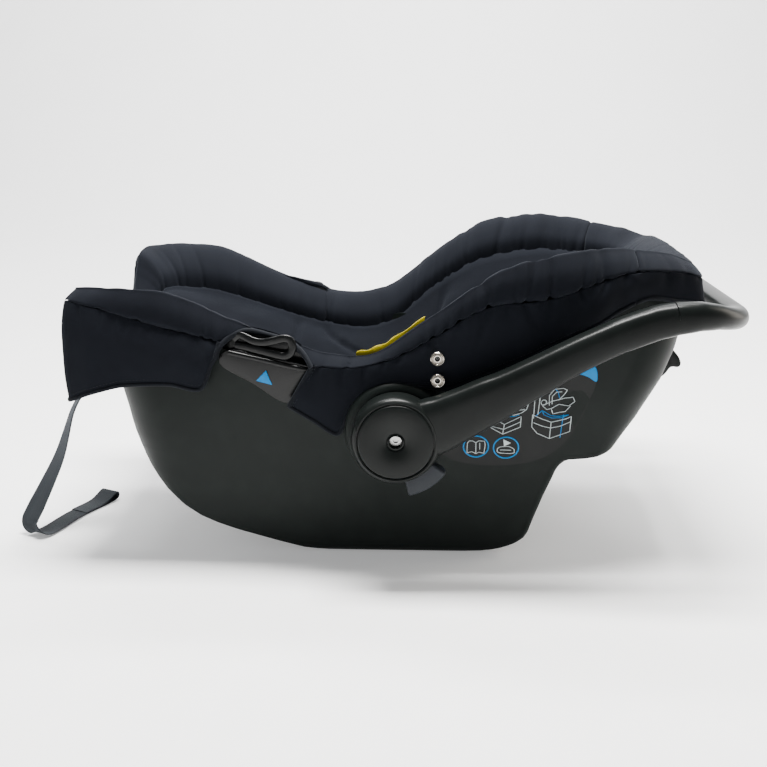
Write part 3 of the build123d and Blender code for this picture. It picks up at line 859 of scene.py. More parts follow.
class Shell:
    """The moulded rocker shell, its hub bosses and what is fixed to it."""

    LEVELS = 96
    # generic line drawings: an open book, a car, and an infant seat strapped on a car's seat, twice
    DRAWING = [
        ([(67.8, 139.4), (69.6, 141.9), (73.2, 141.9), (76.6, 139.8), (79.6, 142.2), (85.5, 141.7),
          (86.4, 137.5), (85.3, 127.4), (80.1, 128.6), (76.9, 126.8), (72.7, 129.2),
          (67.6, 127.6)], LINE, True),
        ([(76.6, 139.8), (76.9, 126.8)], LINE, False),
        ([(80.6, 139.4), (80.8, 132)], LINE, False),
        ([(99, 129.3), (99.2, 133.2), (101.9, 135.2), (105.5, 135.7), (111, 135.8), (113.8, 134.5),
          (116.7, 132.4), (116.9, 128.2), (112.3, 127.4), (103.1, 127.7)], LINE, True),
        ([(102, 131.6), (113.6, 131.4)], LINE, False),
        ([(82.5, 164.3), (93.7, 156.2), (103.9, 150.2), (121.7, 158.6), (122, 170.8), (105.2, 161.5),
          (89.5, 170.5)], LINE, False),
        ([(103.9, 150.2), (105.2, 161.5)], LINE, False),
        ([(88, 160.4), (104.6, 155.8), (121.8, 164.7)], LINE, False),
        ([(97.4, 174.6), (105.5, 172.7), (114.7, 172.4), (122, 174.8), (127, 178.9), (128.6, 184.9),
          (126.3, 189.9), (121.8, 191.2), (112, 186)], LINE, False),
        ([(107.1, 180.7), (116.2, 177.8), (125.5, 178.9)], LINE, False),
        ([(110.3, 184.8), (119.4, 181.4), (127.6, 184)], LINE, False),
        ([(97.5, 172.2), (103.9, 170.2), (114.7, 170.8), (120, 172.6)], BLUE, False),
        ([(133.5, 172.9), (133.5, 158.7), (139.3, 151.6), (152.4, 145.6), (172.7, 154),
          (173.3, 171.2)], LINE, False),
        ([(133.5, 172.9), (143.8, 168), (153, 164.6), (167.2, 168.2), (173.3, 171.2)], LINE, False),
        ([(135, 163.8), (144.3, 159.9), (152.5, 157.9), (162.3, 160), (172.8, 165.2)], LINE, False),
        ([(152.4, 145.6), (153, 164.6)], LINE, False),
        ([(134.7, 168.9), (135, 200.7), (134.5, 203.6)], LINE, False),
        ([(138.1, 203.6), (140.5, 198.8), (138.9, 173)], LINE, False),
        ([(142.8, 183.4), (147.6, 179.1), (152, 180.1), (159.7, 185.1), (169.7, 183.2), (175.7, 188.1),
          (173.5, 193), (165.6, 192), (153.2, 188.6)], LINE, True),
        ([(152, 180.1), (154.2, 174.1), (161.2, 176.2), (166.6, 176.8), (171.5, 183.2)], LINE, False),
        ([(150, 183.5), (149.3, 194.9), (154.2, 201.7), (163.1, 202.7), (167.1, 200.8), (165.2, 196.9),
          (159.4, 190)], LINE, False),
        ([(152.6, 185), (152.4, 194), (156.6, 198.6), (162, 199)], LINE, False),
        ([(147.2, 187), (145.9, 189.6), (143.4, 189.8), (141.2, 187.4), (142, 184.4),
          (145.4, 184.2)], LINE, True),
        ([(140.1, 205), (152.3, 204.6), (158, 198.8), (159.8, 192)], BLUE, False),
        ([(136.4, 170.9), (143.1, 178), (152.3, 172), (161.4, 171.6), (170.4, 173.2)], BLUE, False),
        ([(165, 173.2), (164.3, 163.1), (163.3, 146.7)], BLUE, False),
        ([(143.1, 178), (145, 173), (153, 169.6), (163, 169.8), (170.4, 173.2)], BLUE, False)]

    def level(self, share: float, x: np.ndarray | float) -> np.ndarray | float:
        """Height of one loop of the wall: level low down, following the rim higher up.

        Args:
            share: 0 at the floor, 1 at the rim.
            x: place along the seat.

        Returns:
            Height there.
        """
        if share <= 0.42:
            return share * 300.0 + 0 * value_along(RIM, x)
        return 126.0 + (share - 0.42) / 0.58 * (value_along(RIM, x) - 126.0)

    def ring(self, share: float) -> np.ndarray:
        """One loop of points round the shell.

        Args:
            share: 0 at the floor, 1 at the rim.

        Returns:
            Points of the loop.
        """
        first, last = -300.0, 250.0
        for _ in range(12):
            first = float(value_along(FRONT_WALL, self.level(share, first)))
            last = float(value_along(REAR_WALL, self.level(share, last)))
        front_z, rear_z = self.level(share, first), self.level(share, last)
        rounding_front = 9 + 42 * float(ease(34, 130, front_z))
        rounding_rear = 9 + 34 * float(ease(100, 190, rear_z))
        span = np.linspace(0, 1, 120)
        xs = first + rounding_front + (last - rounding_rear - first - rounding_front) * span
        turn = np.linspace(0, math.pi / 2, 14)[:-1]
        zs = self.level(share, xs)
        side = wall_half(xs, zs)
        front_y, rear_y = side[0], side[-1]
        half = [(first, (front_y - rounding_front) * k / 8) for k in range(8)]
        half += [(first + rounding_front * (1 - math.cos(a)), front_y - rounding_front * (1 - math.sin(a)))
                 for a in turn]
        half += list(zip(xs, side))
        half += [(last - rounding_rear * (1 - math.cos(a)), rear_y - rounding_rear * (1 - math.sin(a)))
                 for a in reversed(turn)]
        half += [(last, (rear_y - rounding_rear) * k / 8) for k in range(7, -1, -1)]
        line = np.array(half)
        heights = self.level(share, line[:, 0])
        near = np.column_stack([line[:, 0], -line[:, 1], heights])
        far = np.column_stack([line[:, 0], line[:, 1], heights])
        return np.vstack([near, far[-2:0:-1]])

    def build_wall(self) -> bpy.types.Object:
        """Make the moulded wall and rocker.

        Returns:
            The wall as a closed piece.
        """
        shares = np.linspace(0, 1, self.LEVELS) ** 1.15
        ledge = np.array([112, 114.5, 117, 118.5, 120, 120.7, 121.5, 122.2, 123, 124.5]) / 300.0
        shares = np.unique(np.concatenate([shares, ledge]))
        rings = [self.ring(s) for s in shares]
        count = len(rings[0])
        points = np.vstack(rings)
        faces = grid_faces(len(rings), count, wrap_columns=True)
        half = count // 2
        base = [(k, k + 1, count - k - 1, count - k) for k in range(1, half - 1)]
        faces += base + [(0, 1, count - 1), (half - 1, half, half + 1)]
        wall = make_mesh("shell_body", points, faces, SHELL, smooth=30)
        if sum(face.normal.y * face.center.y * face.area for face in wall.data.polygons) < 0:
            wall.data.flip_normals()
        thick = wall.modifiers.new("wall", "SOLIDIFY")
        thick.thickness = 4 * MM
        thick.offset = -1
        apply_modifiers(wall)
        mark_sharp(wall.data, 32)
        return wall

    def build(self) -> None:
        """Make and dress the shell and its fittings."""
        wall = self.build_wall()
        bosses = []
        for side in SIDES.values():
            profile = [(54, 148), (53, 176), (52, 181), (50.5, 184), (47.5, 185.6), (44, 186), (20, 186),
                       (20, 148)]
            bosses.append(lathe("boss", profile, side, SHELL))
        shell = join("shell_body", [wall] + bosses)
        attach(shell, "seat")
        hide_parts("shell")
        for label, side in SIDES.items():
            self.build_guide(label, side)
            self.build_label(label, side)
        self.build_hook()

    def wall_at(self, side: int, proud: float) -> Callable:
        """A function that places flat things on the wall.

        Args:
            side: -1 near, 1 far.
            proud: how far off the wall.

        Returns:
            Function (x, z) -> Y.
        """
        return lambda x, z: side * (float(wall_half(x, z)) + proud)

    def build_guide(self, label: str, side: int) -> None:
        """The lap belt guide: a glossy panel, its ledge, and the finger that holds the belt.

        Args:
            label: left or right.
            side: -1 or 1.
        """
        wall = self.wall_at(side, 0)
        outline = smooth_outline([(-187, 224), (-153, 204.5), (-115.5, 184), (-91, 219), (-96, 226),
                                  (-139, 234), (-176, 240)], 5)
        panel = plate("panel", outline, side * 0.3, side * 3.4, GUIDE, bevel=0.7, lean=wall)
        back = plate("recess", smooth_outline([(-178, 236), (-98, 222), (-93, 228), (-106, 244), (-122, 250),
                                               (-150, 256), (-168, 253), (-178, 247)], 5),
                     -side * 7.0, -side * 3.0, GUIDE, bevel=0.6, lean=self.wall_line(side, 160))
        ledge_path = [(x, wall(x, z) + side * 3.8, z) for x, z in smooth_curve([(-177, 237), (-158, 233.5),
                                                                                (-139, 230), (-116, 225),
                                                                                (-95, 221)], 24)]
        ledge = tube("ledge", np.array(ledge_path), 4.4, 5.6, GUIDE, sides=12)
        loop = [(-172, 250), (-166, 254.5), (-160, 253.6), (-152, 250.3), (-145, 249), (-138, 249.2),
                (-128, 251.5), (-119, 253.6), (-113, 251.8), (-110.6, 245.6), (-112.6, 239), (-118, 235.6),
                (-126, 236.4), (-138, 239), (-154, 242.2), (-170, 243.6)]
        line = smooth_curve(loop, 100)
        line[:, 1] -= 5.0 * (side > 0)
        reach = [side * (float(wall_half(x, 243)) + 2.5 - 3.0 * max(0.0, (-150 - x) / 20)) for x, z in line]
        finger_path = np.column_stack([line[:, 0], reach, line[:, 1]])
        finger = tube("finger", finger_path, 8.0, 3.6, GUIDE, sides=14, up=(0, side, 0.0), power=2.6)
        web = plate("web", smooth_outline([(-170, 248), (-160, 251), (-140, 246.5), (-120, 250), (-114, 246),
                                           (-118, 239), (-140, 242), (-160, 245)], 4),
                    -side * 6.0, -side * 2.4, GUIDE, bevel=0.4,
                    lean=lambda x, z: side * float(wall_half(x, 243)))
        guide = join("guide_" + label, [panel, back, ledge, finger, web])
        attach(guide, "seat")
        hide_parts("belt_guide_" + label)
        mark = plate("guide_mark_" + label, [(-138.7, 219.6), (-149.4, 208.0), (-132.9, 204.0)], side * 3.2,
                     side * 3.9, BLUE, bevel=0.2, lean=wall)
        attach(mark, "seat")
        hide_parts("belt_mark_" + label)

    def wall_line(self, side: int, reach: float) -> Callable:
        """Like wall_at, but never further out than a limit.

        Args:
            side: -1 or 1.
            reach: largest |Y|.

        Returns:
            Function (x, z) -> Y.
        """
        return lambda x, z: side * min(float(wall_half(x, z)), reach)

    def build_label(self, label: str, side: int) -> None:
        """The instruction label: a dark film, a blue corner and generic line drawings.

        Args:
            label: left or right.
            side: -1 or 1.
        """
        wall = self.wall_at(side, 0)
        outline = smooth_outline([(38, 134), (46, 123), (60, 116.5), (84, 113), (112, 113.4), (138, 118.6),
                                  (157, 129), (172.5, 147), (184, 170), (190, 188), (195, 203), (196.5, 217),
                                  (192, 226), (178, 229.5), (150, 222), (110, 196), (60, 165)], 6)
        film = plate("film", outline, side * 0.15, side * 0.5, FILM, bevel=0.0, lean=wall)
        corner = smooth_outline([(150, 222), (164, 226), (177, 229), (187, 228.6), (194, 225), (196.6, 218),
                                 (196, 209.6), (187, 215), (178, 217.8), (166, 218.8), (150, 217)], 5)
        blue = plate("blue", corner, side * 0.45, side * 0.8, BLUE, bevel=0.0, lean=wall)
        parts = [film, blue]
        for at, level in ((76.8, 135.3), (108.1, 134.3)):
            parts.append(self.drawn([(at + 13.0 * math.cos(a), level + 12.4 * math.sin(a))
                                     for a in np.linspace(0, 2 * math.pi, 48, endpoint=False)],
                                    side, BLUE, 1.4, True))
        for shape, finish, closed in self.DRAWING:
            parts.append(self.drawn(shape, side, finish, 0.75, closed))
        parts.append(plate("sign", [(105, 144), (112.8, 140), (106, 136)], side * 0.45, side * 0.8, LINE,
                           bevel=0.0, lean=wall))
        done = join("label_" + label, parts)
        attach(done, "seat")
        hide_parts("instruction_label_" + label)

    def drawn(self, shape: Sequence[tuple[float, float]], side: int, finish: Finish, width: float,
              closed: bool) -> bpy.types.Object:
        """One printed line on the wall.

        Args:
            shape: (x, z) points of the line.
            side: -1 or 1.
            finish: colour of the print.
            width: width of the line.
            closed: whether it is a ring.

        Returns:
            The line as a thin ribbon.
        """
        points = np.asarray(shape, float)
        if len(points) > 20:
            line = points
        else:
            steps = 6
            loop = np.vstack([points, points[:1]]) if closed else points
            line = np.vstack([loop[:-1][:, None] + (loop[1:] - loop[:-1])[:, None]
                              * np.linspace(0, 1, steps, endpoint=False)[None, :, None]]).reshape(-1, 2)
            if not closed:
                line = np.vstack([line, loop[-1:]])
        wall = self.wall_at(side, 0.62)
        path = np.array([(x, wall(x, z), z) for x, z in line])
        return tube("line", path, width, 0.5, finish, sides=6, up=(0, side, 0), closed=closed, power=3)

    def build_hook(self) -> None:
        """The shoulder belt hook behind the head end."""
        outline = smooth_outline([(254, 172), (268, 173), (281, 180), (291, 186), (298, 195), (306, 195),
                                  (309, 200), (304, 210), (293, 220), (288, 216), (294, 208), (292, 202),
                                  (283, 199), (280, 208), (281, 228), (273, 230)], 3)
        hook = plate("belt_hook", outline, -45, 45, HANDLE, bevel=2.2, segments=3)
        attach(hook, "seat")
        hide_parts("shoulder_belt_hook")


def smooth_outline(corners: Sequence[tuple[float, float]], steps: int) -> list:
    """A rounded closed outline through corners.

    Args:
        corners: (x, z) points.
        steps: samples between two of them.

    Returns:
        The samples.
    """
    return smooth_curve(corners, len(corners) * steps, closed=True).tolist()


# ======================================================================================
# The handle
# ======================================================================================

ARM_LINE = [(8, 166, 60), (38, 176.5, 61), (57, 186, 58), (76, 196, 54), (95, 205.5, 51), (115, 217, 45.5),
            (134, 227.5, 43.5), (152, 238, 41), (171, 248.5, 38.5), (190, 258, 37), (208, 266.5, 36),
            (227, 274, 35.5), (245, 280.5, 34), (264, 284.5, 31.5), (283, 286, 28.5), (302, 284, 25),
            (321, 279, 22.5), (335.5, 275, 22)]


class Handle:
    """The carrying handle: two arms and the bar behind the head, with hubs and release tabs."""

    SPLIT = 258.0

    def stations(self) -> tuple[np.ndarray, np.ndarray, np.ndarray]:
        """The handle's centre line from the near hub round to the middle of the bar.

        Returns:
            Points, vertical heights and widths.
        """
        straight = np.arange(10, 266, 6.0)
        table = np.array(ARM_LINE)
        points, heights, widths = [], [], []
        for x in straight:
            points.append((x, 202.6, np.interp(x, table[:, 0], table[:, 1])))
            heights.append(np.interp(x, table[:, 0], table[:, 2]))
            widths.append(27.0)
        radius = 69.5
        for a in np.linspace(0, math.pi / 2, 26):
            x = 266 + radius * math.sin(a)
            y = 202.6 - radius * (1 - math.cos(a))
            points.append((x, y, np.interp(x, table[:, 0], table[:, 1])))
            heights.append(np.interp(x, table[:, 0], table[:, 2]))
            widths.append(27.0 - 3.0 * a / (math.pi / 2))
        for y in np.linspace(202.6 - radius, 0, 22)[1:]:
            points.append((335.5, y, 275.0))
            heights.append(22.0)
            widths.append(24.0)
        return np.array(points), np.array(heights), np.array(widths)

    def swept(self, name: str, points: np.ndarray, heights: np.ndarray, widths: np.ndarray,
              finish: Finish) -> bpy.types.Object:
        """Sweep the handle's rounded section along part of its line.

        Args:
            name: object name.
            points: centre line.
            heights: vertical size at each point.
            widths: size across at each point.
            finish: its finish.

        Returns:
            The closed piece.
        """
        sides = 40
        ahead = np.gradient(points, axis=0)
        ahead /= np.linalg.norm(ahead, axis=1)[:, None]
        across = np.cross(ahead, (0, 0, 1.0))
        across /= np.linalg.norm(across, axis=1)[:, None]
        lift = np.cross(across, ahead)
        tall = heights * lift[:, 2]
        angle = np.linspace(0, 2 * math.pi, sides, endpoint=False)
        power = 2 / (2.0 + 1.5 * np.clip((tall - 20) / 20, 0, 1))
        rows = []
        for k in range(len(points)):
            ca, sa = np.cos(angle), np.sin(angle)
            px = np.sign(ca) * np.abs(ca) ** power[k] * widths[k] / 2
            pz = np.sign(sa) * np.abs(sa) ** power[k] * tall[k] / 2
            rows.append(points[k] + across[k] * px[:, None] + lift[k] * pz[:, None])
        grid = np.vstack(rows)
        faces = grid_faces(len(points), sides, wrap_columns=True)
        faces += [tuple(range(sides)), tuple(range((len(points) - 1) * sides, len(points) * sides))]
        return make_mesh(name, grid, faces, finish, smooth=60)

    def build(self) -> None:
        """Make and dress the handle, hubs and tabs."""
        points, heights, widths = self.stations()
        cut = int(np.searchsorted(points[:46, 0], self.SPLIT))
        for label, side in SIDES.items():
            flip = np.array([1, side, 1])
            arm = self.swept("arm", points[:cut + 1] * flip, heights[:cut + 1], widths[:cut + 1], HANDLE)
            rim = [(36.6, 188.0), (43.2, 188.0), (44.2, 190.5), (44.2, 209), (43.6, 212.4), (42.0, 215.2),
                   (39.9, 216.4), (38.5, 215.8), (38.1, 214.2), (9.4, 214.2), (9.4, 203.5), (36.6, 203.5)]
            ring = lathe("ring", rim, side, HANDLE, steps=128)
            done = join("handle_arm_" + label + "_look", [arm, ring])
            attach(done, "handle")
            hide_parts("handle_arm_" + label)
            face = [(6.2, 214.3), (6.2, 216.2), (6.8, 216.9), (8.0, 216.4), (8.6, 215.9), (9.4, 216.6),
                    (10.2, 217.2), (35.8, 217.6), (37.0, 217.2), (37.7, 216.2), (37.9, 214.3)]
            cap = lathe("hub_cover_" + label, face, side, HANDLE, steps=128)
            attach(cap, "handle")
            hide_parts("hub_cap_" + label)
            self.build_tab(label, side)
        rest = points[cut:]
        other = rest[-2::-1] * np.array([1, -1, 1])
        line = np.vstack([rest, other])
        bar = self.swept("grip_bar", line, np.concatenate([heights[cut:], heights[cut:][-2::-1]]),
                         np.concatenate([widths[cut:], widths[cut:][-2::-1]]), HANDLE)
        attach(bar, "handle")
        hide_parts("handle_grip")

    def build_tab(self, label: str, side: int) -> None:
        """The squeeze tab in a hub.

        Args:
            label: left or right.
            side: -1 or 1.
        """
        outline = []
        for a in np.radians(np.linspace(-78, -35, 18)):
            outline.append((HUB_X + 61.8 * math.cos(a), HUB_Z + 61.8 * math.sin(a)))
        for a in np.radians(np.linspace(-35, -78, 12)):
            outline.append((HUB_X + 39 * math.cos(a), HUB_Z + 39 * math.sin(a)))
        tab = plate("squeeze_tab_" + label, outline, side * 190.2, side * 205.8, TAB, bevel=2.4, segments=4)
        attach(tab, "release_tab_" + label)
        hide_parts("release_tab_" + label)


# ======================================================================================
# The sewn cover
# ======================================================================================

# half way round from the middle of the foot end to the middle of the head end:
# seam under the roll, crest, inner edge of the roll, hem of the skirt, end of the pad on the middle line
STATIONS = [
    ((-343, 0, 222), (-337, 0, 236), (-312, 0, 232), (-340, 0, 194), (-292, 0)),
    ((-343, 45, 222), (-337, 45, 236), (-312, 45, 232), (-340, 45, 193), (-292, 0)),
    ((-343, 84, 223), (-337, 82, 237), (-310, 78, 231), (-340, 82, 192), (-291, 0)),
    ((-345, 106, 242), (-340, 103, 260), (-308, 92, 240), (-341, 104, 190), (-288, 0)),
    ((-346, 129, 280), (-338, 123, 293), (-300, 100, 254), (-348, 128, 186), (-284, 0)),
    ((-345, 153, 288), (-332, 144, 299.5), (-290, 106, 256), (-348, 151, 182), (-278, 0)),
    ((-325, 160, 284.5), (-312, 149, 301), (-279, 110, 254), (-325, 158, 191), (-268, 0)),
    ((-296, 161, 276.5), (-291, 153, 301), (-264, 113, 252), (-293, 160, 200), (-256, 0)),
    ((-268, 161, 268), (-265, 154, 300), (-247, 115, 250), (-264, 160, 202), (-240, 0)),
    ((-240, 161, 260.5), (-240, 154, 297), (-229, 117, 246), (-238, 160, 202), (-224, 0)),
    ((-209, 162, 253.5), (-209, 153, 286), (-204, 119, 238), (-207, 162, 198), (-203, 0)),
    ((-186, 162, 248), (-183, 153, 273), (-180, 121, 230), (-190, 163, 232), (-180, 0)),
    ((-150, 158, 254), (-148, 154, 259), (-147, 123, 220), (-150, 160, 250), (-149, 0)),
    ((-114, 162, 244), (-112, 158, 247), (-112, 128, 210), (-115, 172, 184), (-114, 0)),
    ((-91, 177, 227), (-86, 164, 240), (-86, 132, 204), (-115.5, 172, 184), (-86, 0)),
    ((-78, 179.5, 226.5), (-72, 166, 238), (-72, 136, 200), (-92, 170, 169), (-72, 0)),
    ((-62, 181.5, 226), (-58, 168, 237), (-58, 138, 198), (-67, 168, 153), (-58, 0)),
    ((-50, 182.5, 226.5), (-47, 170, 237), (-47, 140, 198), (-56, 172, 173), (-47, 0)),
    ((-36, 183, 229), (-34, 172, 239), (-34, 142, 199), (-43, 177, 192), (-35, 0)),
    ((-20, 183.5, 233), (-20, 174, 244), (-20, 144, 203), (-25, 180, 206), (-21, 0)),
    ((-4, 184, 239), (-5, 175.5, 254), (-5, 146, 212), (-4, 181, 212), (-6, 0)),
    ((20, 184.5, 252), (18, 177, 272), (14, 148, 230), (24, 181, 208), (10, 0)),
    ((45, 185, 267), (43, 178.5, 290), (37, 150, 248), (48, 181, 206), (32, 0)),
    ((70, 185, 283), (68, 180, 308), (61, 151, 266), (74, 181, 217), (54, 0)),
    ((95, 185, 292), (94, 181, 324.5), (86, 151, 282), (100, 180, 228), (78, 0)),
    ((120, 184, 294), (120, 179, 334.5), (112, 149, 292), (124, 180, 238), (103, 0)),
    ((145, 182, 297), (145, 175, 339.5), (137, 146, 298), (148, 179, 250), (127, 0)),
    ((170, 179, 304.5), (170, 168, 342.5), (162, 140, 302), (170, 176, 260), (150, 0)),
    ((192, 174, 312), (192, 159, 344), (184, 132, 305), (192, 171, 270), (170, 0)),
    ((218, 166, 319), (216, 148, 343), (205, 121, 307), (217, 163, 284), (188, 0)),
    ((247, 156, 321), (242, 136, 338.5), (228, 110, 307), (245, 154, 294), (204, 0)),
    ((280, 144, 318), (269, 127, 334), (244, 98, 306), (279, 142, 289), (216, 0)),
    ((303, 130, 311), (291, 118, 325), (254, 82, 305), (306, 130, 285), (224, 0)),
    ((304, 92, 311), (293, 84, 327), (258, 62, 306), (307, 92, 286), (229, 0)),
    ((304, 45, 311), (293, 45, 327.5), (260, 34, 307), (307, 45, 287), (232, 0)),
    ((304, 0, 311), (293, 0, 328), (260, 0, 307), (307, 0, 287), (233, 0))]
FAR_LIFT = [(0, 0), (4, 0), (6, 2), (8, 3), (11, 2), (13, 0), (17, 3), (19, 5), (22, 6), (24, 3), (25.5, 0),
            (27, 0), (28, -3), (29.5, -6), (31.2, -5), (33, -1),
            (35, 0)]   # the far side's rim sits higher here
GAP_FROM, GAP_TO = 11.0, 14.0     # stations between which the belt guide takes the skirt's place
ROLL_SPLIT = 13.3                 # station where the wing's roll meets the side's
HEAD_FROM = 29.55                 # station where the head panel begins
PAD_TOP = [(-345, 232), (-270, 222), (-200, 196), (-120, 156), (-50, 126), (20, 114), (90, 128), (160, 171),
           (230, 236), (300, 321)]
HUGGER = [(44, 227), (52, 246), (66, 278), (86, 302), (112, 318), (138, 324), (160, 325), (182, 321),
          (204, 308), (220, 290)]
# seams that cross the inner face below the belt guides
WEDGE = [[(-127, 251), (-135, 219), (-142, 183), (-148, 150)],
         [(-122, 241), (-100, 193), (-79, 177), (-60, 167)]]
# puckers that show most: station, how strongly, how far they slant, reach over the roll
PUCKERS = [(7.3, 2.4, 0.3, 0.4), (8.1, 2.0, -0.2, 0.35), (9.4, 1.8, 0.3, 0.3), (23.6, 2.6, -0.5, 0.5),
           (25.0, 3.0, 0.4, 0.6), (26.0, 2.6, -0.3, 0.5), (27.2, 1.6, 0.2, 0.3), (28.3, 2.8, -0.4, 0.4),
           (21.4, 1.6, 0.3, 0.3), (29.1, 2.0, 0.3, 0.3), (5.6, 1.8, 0.2, 0.3), (22.5, 1.8, 0.2, 0.3)]


@dataclass
class Rim:
    """The curves of the cover's rim, sampled evenly from station to station."""
    start: float
    stop: float
    count: int
    side: int = 1
    station: np.ndarray = field(init=False)
    seam: np.ndarray = field(init=False)
    crest: np.ndarray = field(init=False)
    inner: np.ndarray = field(init=False)
    hem: np.ndarray = field(init=False)
    spine: np.ndarray = field(init=False)
    out: np.ndarray = field(init=False)

    def __post_init__(self) -> None:
        """Sample every curve, mirrored to the wanted side."""
        self.station = np.linspace(self.start, self.stop, self.count)
        mirror = np.array([1, self.side, 1])
        ends = [np.array([row[k] for row in STATIONS], float) for k in range(4)]
        self.seam, self.crest, self.inner, self.hem = [self.sample(table) * mirror for table in ends]
        spine_x = self.sample(np.array([[row[4][0]] for row in STATIONS], float))[:, 0]
        if self.side > 0:
            lift = value_along(FAR_LIFT, self.station)
            for curve in (self.seam, self.crest, self.inner):
                curve[:, 2] += lift
        self.spine = np.column_stack([spine_x, 0 * spine_x, value_along(PAD_TOP, spine_x)])
        out = self.crest - self.inner
        out[:, 2] = 0
        self.out = out / np.linalg.norm(out, axis=1)[:, None]

    def sample(self, table: np.ndarray) -> np.ndarray:
        """Read a table of the stations at this rim's places.

        Args:
            table: one row for each station.

        Returns:
            One row for each place.
        """
        index = np.clip(self.station.astype(int), 0, len(table) - 2)
        t = (self.station - index)[:, None]
        mirrored_start = table[1] * (np.array([1, -1, 1]) if table.shape[1] == 3 else 1)
        mirrored_end = table[-2] * (np.array([1, -1, 1]) if table.shape[1] == 3 else 1)
        full = np.vstack([mirrored_start, table, mirrored_end])
        a, b, c, d = (full[index + k] for k in range(4))
        curve = 0.5 * (2 * b + (c - a) * t + (2 * a - 5 * b + 4 * c - d) * t ** 2
                       + (3 * b - a - 3 * c + d) * t ** 3)
        straight = b + (c - b) * t
        return 0.75 * curve + 0.25 * straight


class Cover:
    """The sewn cover: roll, skirt, well and the details stitched on it."""

    ROLL_ROWS = 44

    def gathers(self, run: np.ndarray, stations: np.ndarray, depth: np.ndarray, seed: int) -> np.ndarray:
        """How far the cloth is drawn in by gathers that start at a seam.

        Args:
            run: distance along the seam in mm, one for each column.
            stations: station of each column.
            depth: distance from the seam as a share, one for each row.
            seed: picks the pattern.

        Returns:
            Rows by columns of depth in mm.
        """
        random = np.random.default_rng(seed)
        drawn = np.zeros((len(depth), len(run)))
        at = run[0] + 6
        while at < run[-1]:
            strength, width = random.uniform(0.6, 2.6), random.uniform(2.2, 4.4)
            slant, reach = random.uniform(-14, 14), random.uniform(0.16, 0.5)
            fall = np.exp(-(depth / reach) ** 1.5)
            place = at + slant * depth
            spread = width * (1 + depth[:, None] * 1.6)
            drawn += strength * fall[:, None] * np.exp(-((run[None] - place[:, None]) / spread) ** 2)
            at += random.uniform(9, 34)
        for station, strength, slant, reach in PUCKERS:
            if stations[0] < station < stations[-1]:
                where = float(np.interp(station, stations, run))
                fall = np.exp(-(depth / reach) ** 2)
                place = where + slant * 40 * depth
                spread = 3.2 + 5 * depth[:, None]
                drawn += strength * fall[:, None] * np.exp(-((run[None] - place[:, None]) / spread) ** 2)
        return drawn

    def roll_points(self, rim: Rim) -> tuple[np.ndarray, np.ndarray]:
        """The roll's outer face, without gathers.

        Args:
            rim: where it runs.

        Returns:
            Rows by columns of points, from the seam over the crest to the inner edge, and shares.
        """
        shares = np.linspace(0, 1, self.ROLL_ROWS)
        rise = rim.crest - rim.seam
        tall = np.clip(np.abs(rise[:, 2]) / 30.0, 0.1, 1.4)[:, None]
        up = np.array([0, 0, 1.0])
        start = rim.seam - rim.out * 1.5
        low = rim.seam + rise * 0.16 + rim.out * 2.6 * tall
        side = rim.seam + rise * 0.55 + rim.out * 4.4 * tall
        near = rim.seam + rise * 0.88 + rim.out * 2.4 * tall + up * 0.2
        top = rim.crest + up * 0.4
        over = rim.inner - rim.crest
        drop = -over[:, 2:3]
        back = rim.crest + over * np.array([0.3, 0.3, 0]) - up * drop * 0.1
        late = rim.crest + over * np.array([0.62, 0.62, 0]) - up * drop * 0.36
        deep = rim.crest + over * np.array([0.86, 0.86, 0]) - up * drop * 0.7
        end = rim.inner - up * 5.0 + rim.out * 4.0
        knots = np.stack([start, low, side, near, top, back, late, deep, end])
        rows = np.array([smooth_curve(knots[:, c], self.ROLL_ROWS) for c in range(knots.shape[1])])
        return rows.transpose(1, 0, 2), shares

    def outward(self, grid: np.ndarray) -> np.ndarray:
        """Unit normals of a grid of points.

        Args:
            grid: rows by columns of points.

        Returns:
            One normal for each point.
        """
        along = np.gradient(grid, axis=1)
        over = np.gradient(grid, axis=0)
        normal = np.cross(along, over)
        return normal / np.maximum(np.linalg.norm(normal, axis=2)[..., None], 1e-9)

    def build_roll(self, name: str, rim: Rim, seed: int, slack: float = 1.0) -> bpy.types.Object:
        """One panel of the puffy roll.

        Args:
            name: object name.
            rim: where it runs.
            seed: picks its wrinkles.
            slack: how strong they are.

        Returns:
            The closed panel.
        """
        grid, shares = self.roll_points(rim)
        normal = self.outward(grid)
        facing = np.sign(np.sum(normal * (rim.out[None] + np.array([0, 0, 0.6])), axis=2).mean())
        normal = normal * facing
        run = along_path(rim.crest)
        drawn = self.gathers(run, rim.station, shares, seed)
        drawn = drawn + 0.8 * self.gathers(run, rim.station, 1 - shares, seed + 50)
        flat = grid.reshape(-1, 3)
        folds = noise(flat, 46, seed) * 1.5 + noise(flat * np.array([1, 1, 0.5]), 17, seed + 1) * 0.55
        folds = folds.reshape(grid.shape[:2])
        middle = np.sin(np.pi * np.clip(shares, 0, 1)) ** 0.7
        grid = grid + normal * ((folds * middle[:, None] - drawn) * slack)[..., None]
        tuck = np.clip(np.minimum(run - run[0], run[-1] - run) / 5.0, 0, 1)
        centre = grid.mean(axis=0, keepdims=True)
        pull = (1 - np.sqrt(1 - (1 - tuck) ** 2)) * 0.16
        grid = grid + (centre - grid) * pull[None, :, None]
        if abs(rim.side) and 60 < np.abs(grid[..., 1]).max() and name.startswith("roll_side"):
            grid[..., 1] = np.sign(grid[..., 1]) * np.minimum(np.abs(grid[..., 1]), 187.0)
        inner = grid - normal * 5.0
        places = np.stack([np.broadcast_to(run, grid.shape[:2]),
                           np.broadcast_to(shares[:, None] * 62, grid.shape[:2])], axis=2) * MM
        return slab(name, grid, inner, FABRIC, places)

